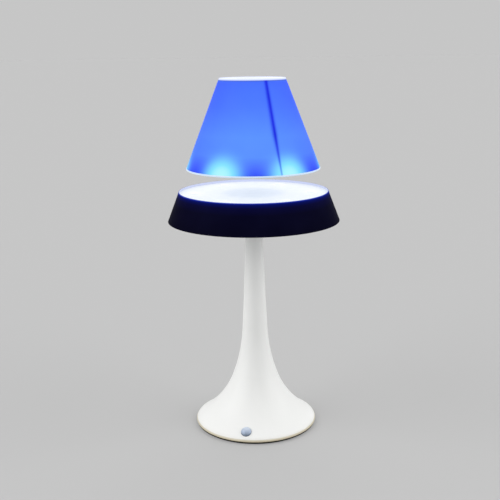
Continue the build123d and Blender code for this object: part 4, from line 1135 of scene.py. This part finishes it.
# The seam leans a little, is faint at the foot, widest at half height and ends below the
# rim. Each pair of numbers is from where to where, in shares of the film's height.
seam_foot_turn = radians(-66.4)
seam_top_turn = radians(-67.5)
seam_foot_width = 0.0013
seam_middle_width = 0.0030
seam_top_width = 0.0023
seam_widening = (0.08, 0.42)
seam_narrowing = (0.5, 1.0)
seam_foot_weight = 0.55
seam_darkening = (0.0, 0.4)
seam_ending = (0.974, 0.984)
seam_turn = span(film_blue, film_share, 0.0, 1.0, seam_foot_turn, seam_top_turn)
seam_angle_away = arithmetic(film_blue, "SUBTRACT", film_turn, seam_turn)
seam_away = arithmetic(film_blue, "MULTIPLY", seam_angle_away, film_radius)
seam_high_width = span(film_blue, film_share, *seam_narrowing, seam_middle_width, seam_top_width)
seam_low_width = span(film_blue, film_share, *seam_widening, seam_foot_width, seam_middle_width)
seam_width = arithmetic(film_blue, "MINIMUM", seam_high_width, seam_low_width)
seam_core = fade(film_blue, off_from(film_blue, seam_away, 0.0, seam_width))
seam_weight = span(film_blue, film_share, *seam_darkening, seam_foot_weight, 1.0)
seam_end = span(film_blue, film_share, *seam_ending, 1.0, 0.0)
seam_depth = arithmetic(film_blue, "MULTIPLY", seam_core, seam_weight)
seam_shade = arithmetic(film_blue, "MULTIPLY", seam_depth, seam_end)
seamed_film = blend_tones(film_blue, seam_shade, lit_film, (0.002, 0.006, 0.64))
wire_shader(film_blue, "Emission Color", seamed_film)
film_cloud = grain(film_blue, size=0.02, detail=2.0)
tone_between(film_blue, film_cloud, (0.010, 0.022, 0.14), (0.014, 0.028, 0.18))
film_grain = grain(film_blue, size=0.004, detail=2.0)
gloss_between(film_blue, film_grain, 0.58, 0.66)
raise_relief(film_blue, film_grain, depth=0.000008)
dress(film_blue, "upper_shade")

# Liner: a sheet of white styrene inside the film, which turns the six points of light
# into an even glow. A thin white hoop glued inside its top edge keeps the mouth round.

liner_white = moulded("liner_white", (0.50, 0.52, 0.55), drift=0.97, roughness=0.5)
glow(liner_white, (0.93, 0.95, 1.0), strength=0.52)
dress(liner_white, "shade_liner", "top_hoop")

# Studio: a plain pale floor and soft light from three sides. The floor and the far
# background have the same tone, so that no horizon shows.

floor_tone = 0.34
floor_size = 60.0
floor_drop = 0.0001
ambient = 0.64
background_lift = 0.20
white = (1.0, 1.0, 1.0, 1.0)
light_spread = radians(60)
studio_lights = [
    ("left_light", Vector((-1.7, -0.55, 0.8)), 1.45),
    ("right_light", Vector((1.7, -0.35, 0.7)), 1.30),
    ("back_light", Vector((0.2, 1.7, 1.1)), 0.54),
]
falling_light = sum(strength * way.normalized().z for _, way, strength in studio_lights)
backdrop_tone = floor_tone * (ambient + falling_light / pi) + background_lift
floor_shape = bmesh.new()
bmesh.ops.create_grid(floor_shape, x_segments=2, y_segments=2, size=floor_size)
bmesh.ops.translate(floor_shape, verts=floor_shape.verts, vec=(0, 0, -floor_drop))
floor = piece_from("floor", floor_shape)
floor_paint = start_finish("floor_paint", (floor_tone, floor_tone, floor_tone), roughness=1.0)
set_shader(floor_paint, "Specular IOR Level", 0.0)
set_shader(floor_paint, "Emission Color", white)
ray = add_node(floor_paint, "ShaderNodeLightPath").outputs
floor_seen = arithmetic(floor_paint, "MAXIMUM", ray["Is Camera Ray"], ray["Is Glossy Ray"])
floor_lift = arithmetic(floor_paint, "MULTIPLY", floor_seen, background_lift)
wire_shader(floor_paint, "Emission Strength", floor_lift)
floor.data.materials.append(floor_paint)

world = bpy.data.worlds.new("studio")
bpy.context.scene.world = world
world.use_nodes = True
sky = world.node_tree
sky.nodes.clear()
sky_ray = sky.nodes.new("ShaderNodeLightPath")
sky_seen = sky.nodes.new("ShaderNodeMath")
sky_seen.operation = "MAXIMUM"
soft_light = sky.nodes.new("ShaderNodeBackground")
soft_light.inputs["Color"].default_value = white
soft_light.inputs["Strength"].default_value = ambient
backdrop = sky.nodes.new("ShaderNodeBackground")
backdrop.inputs["Color"].default_value = (backdrop_tone, backdrop_tone, backdrop_tone, 1.0)
backdrop.inputs["Strength"].default_value = 1.0
chosen = sky.nodes.new("ShaderNodeMixShader")
sky_output = sky.nodes.new("ShaderNodeOutputWorld")
sky.links.new(sky_ray.outputs["Is Camera Ray"], sky_seen.inputs[0])
sky.links.new(sky_ray.outputs["Is Glossy Ray"], sky_seen.inputs[1])
sky.links.new(sky_seen.outputs["Value"], chosen.inputs[0])
sky.links.new(soft_light.outputs[0], chosen.inputs[1])
sky.links.new(backdrop.outputs[0], chosen.inputs[2])
sky.links.new(chosen.outputs[0], sky_output.inputs["Surface"])

# The lights are set by direction alone, so that they light every height alike.
for light_name, way, strength in studio_lights:
    soft_sun = bpy.data.lights.new(light_name, "SUN")
    soft_sun.energy = strength
    soft_sun.angle = light_spread
    studio_light = bpy.data.objects.new(light_name, soft_sun)
    studio_light.location = way
    studio_light.rotation_euler = (-way).to_track_quat("-Z", "Y").to_euler()
    bpy.context.scene.collection.objects.link(studio_light)

# Camera: where the photograph was taken from, about a metre off and a little above the
# floating shade, looking down.

focal_pixels = 841.5
image_pixels = 500.0
sensor_width = 36.0
camera_place = (0.0, -1.0281, 0.4716)
pitch = radians(13.34)
roll = radians(-0.71)
yaw = radians(-0.29)
ahead_level = Vector((sin(yaw), cos(yaw), 0.0))
right_level = Vector((cos(yaw), -sin(yaw), 0.0))
upright = Vector((0.0, 0.0, 1.0))
ahead = ahead_level * cos(pitch) - upright * sin(pitch)
over = ahead_level * sin(pitch) + upright * cos(pitch)
camera_right = right_level * cos(roll) + over * sin(roll)
camera_over = over * cos(roll) - right_level * sin(roll)
lens = bpy.data.cameras.new("camera")
lens.sensor_width = sensor_width
lens.lens = sensor_width * focal_pixels / image_pixels
camera = bpy.data.objects.new("camera", lens)
bpy.context.scene.collection.objects.link(camera)
turned = Matrix((camera_right, camera_over, -ahead)).transposed().to_4x4()
turned.translation = camera_place
camera.matrix_world = turned
bpy.context.scene.camera = camera
bpy.context.scene.view_settings.view_transform = "Standard"
